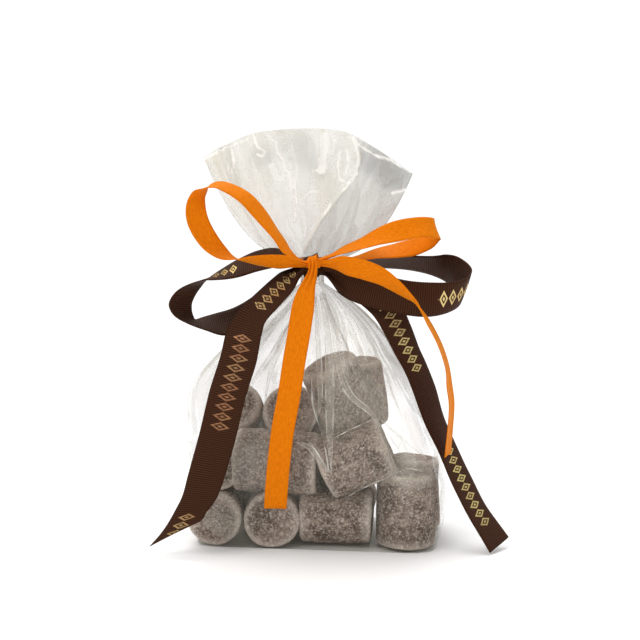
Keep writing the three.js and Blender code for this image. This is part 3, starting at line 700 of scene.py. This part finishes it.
def swelling_at(x, side, z):
    return spots_at(SWELLINGS[side], x, z, 2, 2)


def body_point(angle, z):
    """A point of the rounded rectangle that the body is at a height, seen from its middle."""
    left, right, front, back, square, fold = section_at(z)
    c, s = cos(angle), sin(angle)
    reach = (abs(c) ** square + abs(s) ** square) ** (-1 / square)
    half_x, half_y = (right - left) / 2, (back - front) / 2
    wave = sum(size * cos(count * angle + shift) for count, size, shift in FOLD_WAVES)
    out = 1 + fold * wave / hypot(half_x * c, half_y * s)
    x = (left + right) / 2 + half_x * c * reach * out
    y = (front + back) / 2 + half_y * s * reach * out
    lift = swelling_at(x, -1 if y < 0 else 1, z) * smoothstep(z, 0, 8)
    return Vector((x, y + (lift if y > 0 else -lift), z))


def neck_point(angle, z):
    radius = NECK_RADIUS + CREASE_DEPTH * cos(NECK_CREASES * angle)
    return Vector((NECK_X + radius * cos(angle), radius * sin(angle), z))


def pleat_at(across, rise):
    start, end, share = FLAT_PANEL
    flat = lerp(1, share, smoothstep(across, start, end))
    return flat * rise * sum(depth * sin(pi * count * across + shift) for count, depth, shift in FAN_PLEATS)


@lru_cache(maxsize=None)
def fan_edge_at(across):
    """The fan's top edge at a place across it, from -1 at its left tip to 1 at its right one."""
    return spline(FAN_EDGE, (across + 1) / 2)


def fan_point(angle, rise):
    across = cos(angle)
    foot = neck_point(angle, NECK_TOP)
    edge_x, edge_z = fan_edge_at(round(across, 4))
    half = lerp(FAN_EDGE_THICKNESS, FAN_THICKNESS, sqrt(max(0, 1 - across * across))) / 2
    side = 1 if sin(angle) > 1e-6 else -1 if sin(angle) < -1e-6 else 0
    x = lerp(foot.x, edge_x, rise**FAN_SPREAD)
    y = lerp(foot.y, side * half, sqrt(rise)) + pleat_at(across, rise)
    return Vector((x, y, lerp(NECK_TOP, edge_z, rise)))


# ---- The film ----

FACE_SHARES = (1 / 3, 1 / 6, 1 / 3, 1 / 6)  # of the columns: back, left, front, right


@lru_cache(maxsize=None)
def column_angle(around):
    """The direction of a column of the film, as around goes from 0 at the back seam once round to 1."""
    place = around + FACE_SHARES[0] / 2
    for face, share in enumerate(FACE_SHARES + FACE_SHARES[:1]):
        if place <= share + 1e-6:
            return atan(lerp(-1, 1, place / share)) + (face + 1) * pi / 2
        place -= share


def ridges(x, y, z, size):
    """Noise that comes to sharp ridges, from -1 to 1, with about one ridge in each size mm."""
    return 1 - 2 * min(1, 1.6 * abs(noise.noise(Vector((x, y, z)) / size)))


def body_wrinkle(around, z):
    """The height of the body's wrinkles, -1 to 1 or so, and how white their sharp folds are painted: partly whitened
    film, partly painted highlights.
    """
    turn = 2 * pi * around
    x, y = RING * cos(turn), RING * sin(turn)
    # The offsets keep the three patterns apart. Where z counts for less, a pattern is drawn out up the film.
    facets = ridges(x, y, z * 0.8 + 200, FACET)
    folds = ridges(x, y, z * 0.07, FOLD)
    fine = ridges(x, y, z * 0.16 - 90, FINE)
    gathered = smoothstep(z, 35, 100)
    height = lerp(0.6, 0.25, gathered) * facets + lerp(0.1, 0.8, gathered) * folds + lerp(0.1, 0.3, gathered) * fine
    worn = noise.noise(Vector((x, y, z * 0.6)) / 15) + 0.25 * gathered
    sharp = max(smoothstep(folds, 0.9, 1), 0.8 * smoothstep(fine, 0.85, 1)) * lerp(0.25, 1, gathered)
    return height, sharp * smoothstep(worn, 0, 0.45) * 0.5


def beyond_crease(x, z):
    """How far right of the fan's long crease a place is, in mm."""
    for (low, here), (high, there) in zip(PANEL_CREASE, PANEL_CREASE[1:]):
        if z <= high:
            break
    return x - lerp(here, there, (z - low) / (high - low))


def glint_streak_at(x, z):
    """How far a painted highlight along one of the fan's creases whitens a place on its front."""
    white = 0
    ragged = 0.5 * noise.noise(Vector((x, z, 0)) / 2.5)
    for width, *bends in FAN_GLINT_STREAKS:
        for (x0, z0), (x1, z1) in zip(bends, bends[1:]):
            dx, dz = x1 - x0, z1 - z0
            t = min(1, max(0, ((x - x0) * dx + (z - z0) * dz) / (dx * dx + dz * dz)))
            away = hypot(x - x0 - t * dx, z - z0 - t * dz) + ragged
            white = max(white, smoothstep(width / 2 - away, -0.5, 0.35))
    return white


def fan_wrinkle(angle, x, rise, z):
    """The fan's wrinkles: their height, how white they are painted (partly whitened film, partly painted
    highlights), and how smooth the film is, with its painted grey shade.
    """
    across = cos(angle)
    side = 40 * (1 if sin(angle) > 0 else -1)
    lean = 3 * noise.noise(Vector((x, side, z)) / 20)
    radial = ridges(across * 50 + lean, side, z * 0.08, FAN_FOLD)
    close = ridges(across * 50 + 2 * lean, side + 9, z * 0.25, FAN_CLOSE_FOLD)
    facets = ridges(x, side, z * 0.7, FACET)
    past = beyond_crease(x, z)
    smooth = smoothstep(past, -0.6, 0.8)
    spread = lerp(0.12, 1, rise**FAN_SPREAD)
    height = (0.6 * radial + 0.14 * close + 0.45 * facets) * (1 - 0.85 * smooth) - 1.1 * smoothstep(past, -2.5, 0.6)
    worn = noise.noise(Vector((x, side, z * 0.7)) / 9)
    sharp = max(0.5 * smoothstep(close, 0.85, 1), smoothstep(facets, 0.93, 1), 0.5 * smoothstep(radial, 0.92, 1))
    # A painted highlight runs along the long crease at the edge of the smooth panel.
    edge = 0.55 * smoothstep(-abs(past), -1, 0) * smoothstep(rise, 0, 0.1)
    white = max(sharp * smoothstep(worn, 0, 0.35) * lerp(0.7, 0.12, smooth), edge)
    # On the front, painted highlights lie along the listed creases.
    if side < 0:
        white = max(white, 0.9 * glint_streak_at(x, z))
    # The last value is the smooth panel and the listed flat patches, painted grey as shade.
    return height * spread * smoothstep(rise, 0, 0.12), white, 0.6 * smooth + spots_at(FAN_PAINTED_GREYS, x, z, 4)


def film_vertex(around, row, film):
    """One point of the film, its height up the film in mm, and its painted white (partly whitened film, partly
    painted highlights), its milkiness (haze and painted glare) and its painted grey shade there.
    """
    angle = column_angle(around)
    if row <= BASE_ROWS:
        inward = row / BASE_ROWS
        pucker = Vector((0, 0, BASE_PUCKER * sin(pi * inward)))
        return BASE_MIDDLE.lerp(body_point(angle, 0), inward) + pucker, BASE_RUN * (inward - 1), (0, 0, 0)
    row -= BASE_ROWS
    if row <= BODY_ROWS:
        z = NECK_BOTTOM * row / BODY_ROWS
        point = body_point(angle, z) if row < BODY_ROWS else neck_point(angle, z)
        left, right, front, back, square, _ = section_at(z)
        c, s = cos(angle), sin(angle)
        outward = Vector(
            (c * abs(c) ** (square - 2) / (right - left), s * abs(s) ** (square - 2) / (back - front), 0)
        ).normalized()
        height, white = body_wrinkle(around, z)
        # The wrinkles fade out at the bottom's rim and where there is no room for them.
        rim = smoothstep(z, 0, 12)
        room = min(1, (right - left) / ROOMY_WIDTH) * rim * (1 - smoothstep(z, GATHERED_FROM, NECK_BOTTOM))
        # Milky patches: partly haze of loose film, partly painted glare.
        milk_and_glare = spots_at(MILKY_AND_GLARE[1 if s > 0 else -1], point.x, z, 4)
        return point + outward * film.crumple / MM * room * height, z, (white * rim, milk_and_glare, 0)
    row -= BODY_ROWS
    if row <= NECK_ROWS:
        z = lerp(NECK_BOTTOM, NECK_TOP, row / NECK_ROWS)
        return neck_point(angle, z), z, (NECK_WHITE, 0, 0)
    rise = ((row - NECK_ROWS) / FAN_ROWS) ** FAN_ROW_POWER
    point = fan_point(angle, rise)
    height, white, smooth = fan_wrinkle(angle, point.x, rise, point.z)
    gap = lerp(0.35, 1, sqrt(abs(sin(angle))))
    point.y += film.fan_crumple / MM * height * gap
    return point, point.z, (white, 0, smooth)


def face_of_film(x, z, side):
    """Where the film's front (-1) or back (1) face is, at a place on it."""
    left, right, front, back, square, _ = section_at(round(z, 2))
    offset = min(0.98, abs(x - (left + right) / 2) / ((right - left) / 2))
    reach = (1 - offset**square) ** (1 / square)
    y = (front + back) / 2 + side * (back - front) / 2 * reach
    return y + side * swelling_at(x, side, z)


def add_pulled_pleat(bm, stops, side, crease, milk_and_glare):
    """A tapering strip of doubled film on the front or the back. Its edges are painted white here and there, as
    broken highlights.
    """
    uv = uv_layer(bm)
    grid = bmesh.ops.create_grid(bm, x_segments=4, y_segments=40, size=1)["verts"]
    places = {}
    for vert in grid:
        across, up = vert.co.x, (vert.co.y + 1) / 2
        x, z, width = spline(stops, up)
        ahead, behind = spline(stops, min(1, up + 0.01)), spline(stops, max(0, up - 0.01))
        run = Vector((ahead[0] - behind[0], ahead[1] - behind[1])).normalized()
        x -= across * width / 2 * run.y
        z += across * width / 2 * run.x
        ridge = PLEAT_LIFT * (1 + 1.4 * (1 - across * across))
        wander = 0.25 * noise.noise(Vector((x, z, side * 9)) / 6)
        vert.co = (x, face_of_film(x, z, side) + side * (ridge + wander), z)
        # Hard creases get a broken painted highlight; the edges of wider pleats get patchy painted glints.
        if width < HARD_CREASE:
            vert[crease] = max(0.1, 0.4 + 0.7 * noise.noise(Vector((x, z, side)) / 4))
        else:
            glint = min(0.8, max(0.2, 0.5 + 1.1 * noise.noise(Vector((x, z + 40, side)) / 5)))
            vert[crease] = glint if abs(across) > 0.9 else 0.1
        vert[milk_and_glare] = PLEAT_MILK
        places[vert] = ((PLEAT_PLACE + across * 3) * MM, z * MM)
    for loop in loops_of(grid):
        loop[uv].uv = places[loop.vert]


def make_film(film):
    bm = bmesh.new()
    layers = [bm.verts.layers.float.new(name) for name in ("crease", "milk_and_glare", "grey_panel_shade")]
    uv = uv_layer(bm)
    rows = BASE_ROWS + BODY_ROWS + NECK_ROWS + FAN_ROWS
    sheet = bmesh.ops.create_grid(bm, x_segments=COLUMNS, y_segments=rows, size=1)["verts"]
    places = {}
    for vert in sheet:
        around = round((1 - vert.co.x) / 2, 6)
        row = round((vert.co.y + 1) / 2 * rows)
        vert.co, height, looks = film_vertex(around, row, film)
        for layer, look in zip(layers, looks):
            vert[layer] = look
        places[vert] = (around * PERIMETER * MM, height * MM)
    for loop in loops_of(sheet):
        loop[uv].uv = places[loop.vert]
    bmesh.ops.remove_doubles(bm, verts=sheet, dist=0.02)
    for side, pleats in PULLED_PLEATS.items():
        for stops in pleats:
            add_pulled_pleat(bm, stops, side, *layers[:2])
    bmesh.ops.recalc_face_normals(bm, faces=bm.faces)
    make_piece(bm, "film", [film_material(film)], "bag")


# ---- Truffles ----

FLOOR_GAP = 0.4  # mm of film and air under the lowest truffles
# The lumps of a hand-rolled truffle: mm across, height as a share of its unevenness, way that the seed shifts them.
LUMPS = ((17, 1.7, 1), (6, 0.35, -1), (1.6, 0.22, 1))
LUMP_SEED = Vector((31, 17, 7))  # from one truffle's noise to the next one's
TRUFFLE_TURN = 2.4  # radians that each is turned on its axis, after the one before
END_STEPS, RIM_STEPS, SIDE_STEPS, ROUND_STEPS = 5, 8, 6, 44  # of its mesh


def truffle_profile(length, diameter, rim):
    """Half the outline of a rounded cylinder, from the middle of one end to the middle of the other."""
    half, radius = length / 2, diameter / 2
    end = [((radius - rim) * i / END_STEPS, half) for i in range(END_STEPS)]
    for i in range(RIM_STEPS + 1):
        turn = pi / 2 * i / RIM_STEPS
        end.append((radius - rim + rim * sin(turn), half - rim + rim * cos(turn)))
    side = [(radius, lerp(half - rim, rim - half, i / SIDE_STEPS)) for i in range(1, SIDE_STEPS)]
    return end + side + [(across, -up) for across, up in reversed(end)]


def make_truffle(number, centre, axis, length, diameter, truffles, material):
    """One truffle, spun from its outline and then pushed out of true as a hand-rolled piece is."""
    bm = bmesh.new()
    rim_layer = bm.verts.layers.float.new("rim")
    rim = truffles.rim / MM
    outline = [bm.verts.new((across, 0, up)) for across, up in truffle_profile(length, diameter, rim)]
    edges = [bm.edges.new(pair) for pair in zip(outline, outline[1:])]
    bmesh.ops.spin(
        bm, geom=outline + edges, cent=(0, 0, 0), axis=(0, 0, 1), angle=2 * pi, steps=ROUND_STEPS, use_merge=True
    )
    bmesh.ops.remove_doubles(bm, verts=bm.verts, dist=0.01)
    bmesh.ops.recalc_face_normals(bm, faces=bm.faces)
    bmesh.ops.subdivide_edges(bm, edges=bm.edges, cuts=1, use_grid_fill=True, smooth=0.6)
    bm.normal_update()
    uneven = truffles.unevenness / MM
    seed = LUMP_SEED * number
    for vert in bm.verts:
        edge = hypot(vert.co.x, vert.co.y) - diameter / 2 + rim, abs(vert.co.z) - length / 2 + rim
        vert[rim_layer] = smoothstep(min(edge), -1.5, 2.5)
        lump = sum(share * noise.noise(vert.co / size + seed * way) for size, share, way in LUMPS)
        vert.co += vert.normal * uneven * lump
    turn = Vector((0, 0, 1)).rotation_difference(Vector(axis)).to_matrix().to_4x4()
    spun = Matrix.Rotation(number * TRUFFLE_TURN, 4, "Z")
    bmesh.ops.transform(bm, matrix=Matrix.Translation(centre) @ turn @ spun, verts=bm.verts)
    lowest = min(vert.co.z for vert in bm.verts)
    if lowest < FLOOR_GAP:
        bmesh.ops.translate(bm, vec=(0, 0, FLOOR_GAP - lowest), verts=bm.verts)
    make_piece(bm, f"truffle_{number:02d}", [material], "bag")


# ---- Ribbons ----

MEASURES = 200  # straight steps that a stretch is measured in


class Route:
    """The middle line of a stretch of ribbon: places along it, the way across it and how far it is squeezed."""

    def __init__(self, stops, knot=(0, 0, 0), reach=0, square=True, steps_per_mm=0.9):
        self.stops = stops
        self.square = square
        self.heart = Vector(knot)
        self.reach = reach
        rough = [Vector(spline(stops, i / MEASURES)[:3]) for i in range(MEASURES + 1)]
        self.distances = [0]
        for a, b in zip(rough, rough[1:]):
            self.distances.append(self.distances[-1] + (b - a).length)
        self.length = self.distances[-1]
        self.steps = ceil(self.length * steps_per_mm)

    def frame_at(self, t):
        """The middle, the ways along, across and out, and the share of the width that is open, at t."""
        values = spline(self.stops, t)
        middle = Vector(values[:3])
        ahead = Vector(spline(self.stops, min(1, t + 1e-3))[:3])
        behind = Vector(spline(self.stops, max(0, t - 1e-3))[:3])
        along = (ahead - behind).normalized()
        across = Vector(values[3:]).normalized()
        if self.square:
            across = (across - along * across.dot(along)).normalized()
        opened = smoothstep((middle - self.heart).length, 3, self.reach) if self.reach else 1
        return middle, along, across, along.cross(across).normalized(), opened

    def distance_at(self, t):
        place = t * MEASURES
        i = min(MEASURES - 1, int(place))
        return lerp(self.distances[i], self.distances[i + 1], place - i)


def add_strip(bm, route, width, facing=1, marks=(), slant=0, seed=0):
    """A stretch of flat ribbon, pleated where its knot squeezes it. facing turns its printed side over."""
    uv, spots = uv_layer(bm), uv_layer(bm, "print")
    worn = bm.verts.layers.float["dull_foil_group"]
    grid = bmesh.ops.create_grid(bm, x_segments=route.steps, y_segments=10, size=1)["verts"]
    frames = [route.frame_at(i / route.steps) for i in range(route.steps + 1)]
    places = {}
    for vert in grid:
        t, side = (vert.co.x + 1) / 2, vert.co.y * facing
        middle, along, across, out, opened = frames[round(t * route.steps)]
        squeeze = lerp(PINCHED_SHARE, 1, opened)
        fold = (1 - opened) * sin(pi * PLEATS_AT_KNOT * side + seed) * width * PLEAT_SHARE
        distance = route.distance_at(t)
        ripple = RIPPLE * noise.noise(Vector((distance / RIPPLE_LENGTH, side * 0.8, seed * 5)))
        curl = -CURL * facing * side * side * opened
        vert.co = middle + across * side * squeeze * width / 2 + out * (fold + ripple + curl)
        cut = slant * (1 + side * facing) / 2 * smoothstep(t, 1 - 3 * slant / route.length, 1) if slant else 0
        distance -= cut
        vert.co -= along * cut
        places[vert] = (distance, side * width / 2)
        groups = [group_dulling for at, count, group_dulling in marks if at - 2 <= distance <= at + count * MARK_PITCH + 2]
        vert[worn] = groups[0] if groups else 0
    for face in {face for vert in grid for face in vert.link_faces}:
        middle = sum(places[loop.vert][0] for loop in face.loops) / 4
        start = next((at for at, count, group_dulling in marks if at - 1 <= middle <= at + count * MARK_PITCH), None)
        for loop in face.loops:
            distance, side = places[loop.vert]
            loop[uv].uv = (distance * MM, side * MM)
            loop[spots].uv = ((distance - start) * MM if start is not None else NO_MARK, side * MM)


def ring_stops(centre, radii, across, turns=24):
    """Stops once round an upright ellipse in the plane that across stands on."""
    across = Vector(across)
    first = Vector((0, 0, 1)) if abs(across.z) < 0.5 else Vector((1, 0, 0))
    second = across.cross(first)
    stops = []
    for i in range(turns + 1):
        turn = 2 * pi * i / turns
        point = Vector(centre) + first * radii[0] * cos(turn) + second * radii[1] * sin(turn)
        stops.append((*point, *across))
    return tuple(stops)


def add_knot(bm, knot, wrap_width, seed):
    """The knot: a squeezed ball of ribbon with the turn of ribbon that is wound over it."""
    centre, radii = knot
    uv = uv_layer(bm)
    ball = bmesh.ops.create_icosphere(bm, subdivisions=4, radius=1)["verts"]
    for vert in ball:
        pleats = 0.07 * sin(9 * (vert.co.z + 0.5 * abs(vert.co.x)) + seed)
        crush = 0.15 * noise.noise(vert.co * 1.6 + Vector((seed, 0, 0)))
        vert.co = vert.co * (0.92 + pleats + crush)
    for loop in loops_of(ball):
        loop[uv].uv = (loop.vert.co.z * radii[2] * MM, loop.vert.co.x * radii[0] * MM)
    bmesh.ops.scale(bm, vec=radii, verts=ball)
    bmesh.ops.translate(bm, vec=centre, verts=ball)
    wrap = ring_stops(centre, (radii[2], radii[1] * 1.02), (1, 0, 0.35))
    add_strip(bm, Route(wrap, steps_per_mm=1.5), wrap_width, facing=-1, seed=seed)


def add_band(bm, band, width_of_strap, knot):
    """The turn of ribbon round the neck, and the stretch from it forward into the knot."""
    height, width = band
    radius = NECK_RADIUS + CREASE_DEPTH + BAND_GAP
    ring = ring_stops((NECK_X, 0, height), (radius, radius), (0, 0, 1), 32)
    add_strip(bm, Route(ring, steps_per_mm=1), width, facing=-1, seed=3)
    front = (NECK_X, -radius, height)
    strap = tuple((*(lerp(a, b, i / 4) for a, b in zip(front, knot[0])), 1, 0, 0) for i in range(5))
    add_strip(bm, Route(strap, steps_per_mm=1), width_of_strap, seed=4)


def make_bow(name, stretches, knot, band, width, thickness, materials, node):
    bm = bmesh.new()
    bm.verts.layers.float.new("dull_foil_group")
    uv_layer(bm)
    uv_layer(bm, "print")
    for number, (stops, facing, marks, reach, slant, square) in enumerate(stretches, 1):
        add_strip(bm, Route(stops, knot[0], reach, square), width, facing, marks, slant, seed=number)
    add_knot(bm, knot, width * WRAP_SHARE, seed=len(name))
    add_band(bm, band, width * STRAP_SHARE, knot)
    bow = make_piece(bm, name, materials, node)
    cloth = bow.modifiers.new("thickness", "SOLIDIFY")
    cloth.thickness = thickness
    cloth.offset = 0
    cloth.material_offset = cloth.material_offset_rim = len(materials) - 1


# ---- Stage ----

LOOK_AT = (0, 0, 0.1)
BACKDROP = 1.06  # brightness of the room as the camera sees it: just over white


def add_softbox(name, place, target, size, power, colour):
    light = bpy.data.lights.new(name, "AREA")
    light.shape = "RECTANGLE"
    light.size, light.size_y = size
    light.energy = power
    light.color = linear(colour)[:3]
    softbox = bpy.data.objects.new(name, light)
    softbox.location = place
    softbox.rotation_euler = (Vector(target) - Vector(place)).to_track_quat("-Z", "Y").to_euler()
    bpy.context.scene.collection.objects.link(softbox)


def make_stage(stage):
    scene = bpy.context.scene
    bm = bmesh.new()
    bmesh.ops.create_circle(bm, cap_ends=True, segments=64, radius=stage.floor_radius)
    mesh = bpy.data.meshes.new("floor")
    bm.to_mesh(mesh)
    bm.free()
    mesh.materials.append(floor_material())
    floor = bpy.data.objects.new("floor", mesh)
    scene.collection.objects.link(floor)

    # The room lights the object softly, and itself shows as pure white behind it.
    world = bpy.data.worlds.new("white_studio")
    world.use_nodes = True
    tree = world.node_tree
    seen = add_node(tree, "LightPath").outputs["Is Camera Ray"]
    strength = add_node(tree, "MapRange", {"Value": seen, "To Min": stage.ambient, "To Max": BACKDROP})
    feed(tree.nodes["Background"], {"Color": linear("ffffff"), "Strength": strength})
    scene.world = world
    scene.view_settings.view_transform = "Standard"
    scene.cycles.transparent_max_bounces = 24  # a look through the fan crosses many layers of film

    middle = (0, 0, 0.09)
    add_softbox("key", (-0.35, -0.5, 0.75), middle, (0.45, 0.45), stage.key, "fffdf8")
    add_softbox("side", (0.75, -0.35, 0.35), middle, (0.1, 0.4), stage.key * 0.25, "ffffff")
    overhead = bpy.data.lights.new("overhead", "SUN")
    overhead.energy = 2.4
    overhead.angle = radians(60)
    ceiling = bpy.data.objects.new("overhead", overhead)
    ceiling.rotation_euler = (radians(-20), radians(-5), 0)
    scene.collection.objects.link(ceiling)

    camera = bpy.data.objects.new("camera", bpy.data.cameras.new("camera"))
    camera.data.lens = stage.lens
    camera.data.sensor_width = 36
    camera.data.clip_start, camera.data.clip_end = 0.01, 50
    azimuth, elevation = stage.camera_azimuth, stage.camera_elevation
    back = Vector((sin(azimuth) * cos(elevation), -cos(azimuth) * cos(elevation), sin(elevation)))
    camera.location = Vector(LOOK_AT) + back * stage.camera_distance
    camera.rotation_euler = (-back).to_track_quat("-Z", "Y").to_euler()
    scene.collection.objects.link(camera)
    scene.camera = camera


# ---- Operators ----


class GIFTBAG_OT_film(bpy.types.Operator):
    """Make the crumpled clear film of the bag, with its fan above the tie"""

    bl_idname = "giftbag.film"
    bl_label = "Clear Film"

    def execute(self, context):
        make_film(context.scene.giftbag_film)
        return {"FINISHED"}


class GIFTBAG_OT_truffles(bpy.types.Operator):
    """Fill the bag with dusted chocolate truffles"""

    bl_idname = "giftbag.truffles"
    bl_label = "Truffles"

    def execute(self, context):
        truffles = context.scene.giftbag_truffles
        material = dusted_chocolate_material(truffles)
        for number, (centre, axis, length, diameter) in enumerate(TRUFFLES, 1):
            make_truffle(number, centre, axis, length, diameter, truffles, material)
        return {"FINISHED"}


class GIFTBAG_OT_orange_bow(bpy.types.Operator):
    """Tie the narrow orange satin ribbon in its bow, in front"""

    bl_idname = "giftbag.orange_bow"
    bl_label = "Orange Satin Bow"

    def execute(self, context):
        ribbons = context.scene.giftbag_ribbons
        make_bow(
            "orange_satin_bow",
            ORANGE_STRETCHES,
            ORANGE_KNOT,
            ORANGE_BAND,
            ribbons.satin_width / MM,
            ribbons.satin_thickness,
            [satin_material(ribbons)],
            "orange_ribbon",
        )
        return {"FINISHED"}


class GIFTBAG_OT_brown_bow(bpy.types.Operator):
    """Tie the wide brown grosgrain ribbon in its bow, behind the orange one"""

    bl_idname = "giftbag.brown_bow"
    bl_label = "Brown Grosgrain Bow"

    def execute(self, context):
        ribbons = context.scene.giftbag_ribbons
        make_bow(
            "brown_grosgrain_bow",
            BROWN_STRETCHES,
            BROWN_KNOT,
            BROWN_BAND,
            ribbons.grosgrain_width / MM,
            ribbons.grosgrain_thickness,
            [grosgrain_material(ribbons, True), grosgrain_material(ribbons, False)],
            "brown_ribbon",
        )
        return {"FINISHED"}


class GIFTBAG_OT_stage(bpy.types.Operator):
    """Set the pale floor, the soft lights and the camera"""

    bl_idname = "giftbag.stage"
    bl_label = "Stage"

    def execute(self, context):
        make_stage(context.scene.giftbag_stage)
        return {"FINISHED"}


class GIFTBAG_PT_panel(bpy.types.Panel):
    """The gift bag's sizes, colours and steps"""

    bl_idname = "GIFTBAG_PT_panel"
    bl_label = "Truffle Gift Bag"
    bl_space_type = "VIEW_3D"
    bl_region_type = "UI"
    bl_category = "Gift Bag"

    def draw(self, context):
        for title, group in GROUPS.items():
            box = self.layout.box()
            box.label(text=title)
            settings = getattr(context.scene, group)
            for name in settings.bl_rna.properties.keys():
                if name not in ("rna_type", "name"):
                    box.prop(settings, name)
        for step in STEPS:
            self.layout.operator(step.bl_idname)


GROUPS = {
    "Film": "giftbag_film",
    "Truffles": "giftbag_truffles",
    "Ribbons": "giftbag_ribbons",
    "Stage": "giftbag_stage",
}
GROUP_CLASSES = (GiftBagFilm, GiftBagTruffles, GiftBagRibbons, GiftBagStage)
STEPS = (
    GIFTBAG_OT_stage,
    GIFTBAG_OT_truffles,
    GIFTBAG_OT_film,
    GIFTBAG_OT_brown_bow,
    GIFTBAG_OT_orange_bow,
)


def register():
    for item in (*GROUP_CLASSES, *STEPS, GIFTBAG_PT_panel):
        bpy.utils.register_class(item)
    for group, properties in zip(GROUPS.values(), GROUP_CLASSES):
        setattr(bpy.types.Scene, group, PointerProperty(type=properties))


def unregister():
    for group in GROUPS.values():
        delattr(bpy.types.Scene, group)
    for item in reversed((*GROUP_CLASSES, *STEPS, GIFTBAG_PT_panel)):
        bpy.utils.unregister_class(item)


def main():
    register()
    bpy.ops.giftbag.stage()
    bpy.ops.giftbag.truffles()
    bpy.ops.giftbag.film()
    bpy.ops.giftbag.brown_bow()
    bpy.ops.giftbag.orange_bow()


if __name__ == "__main__":
    main()
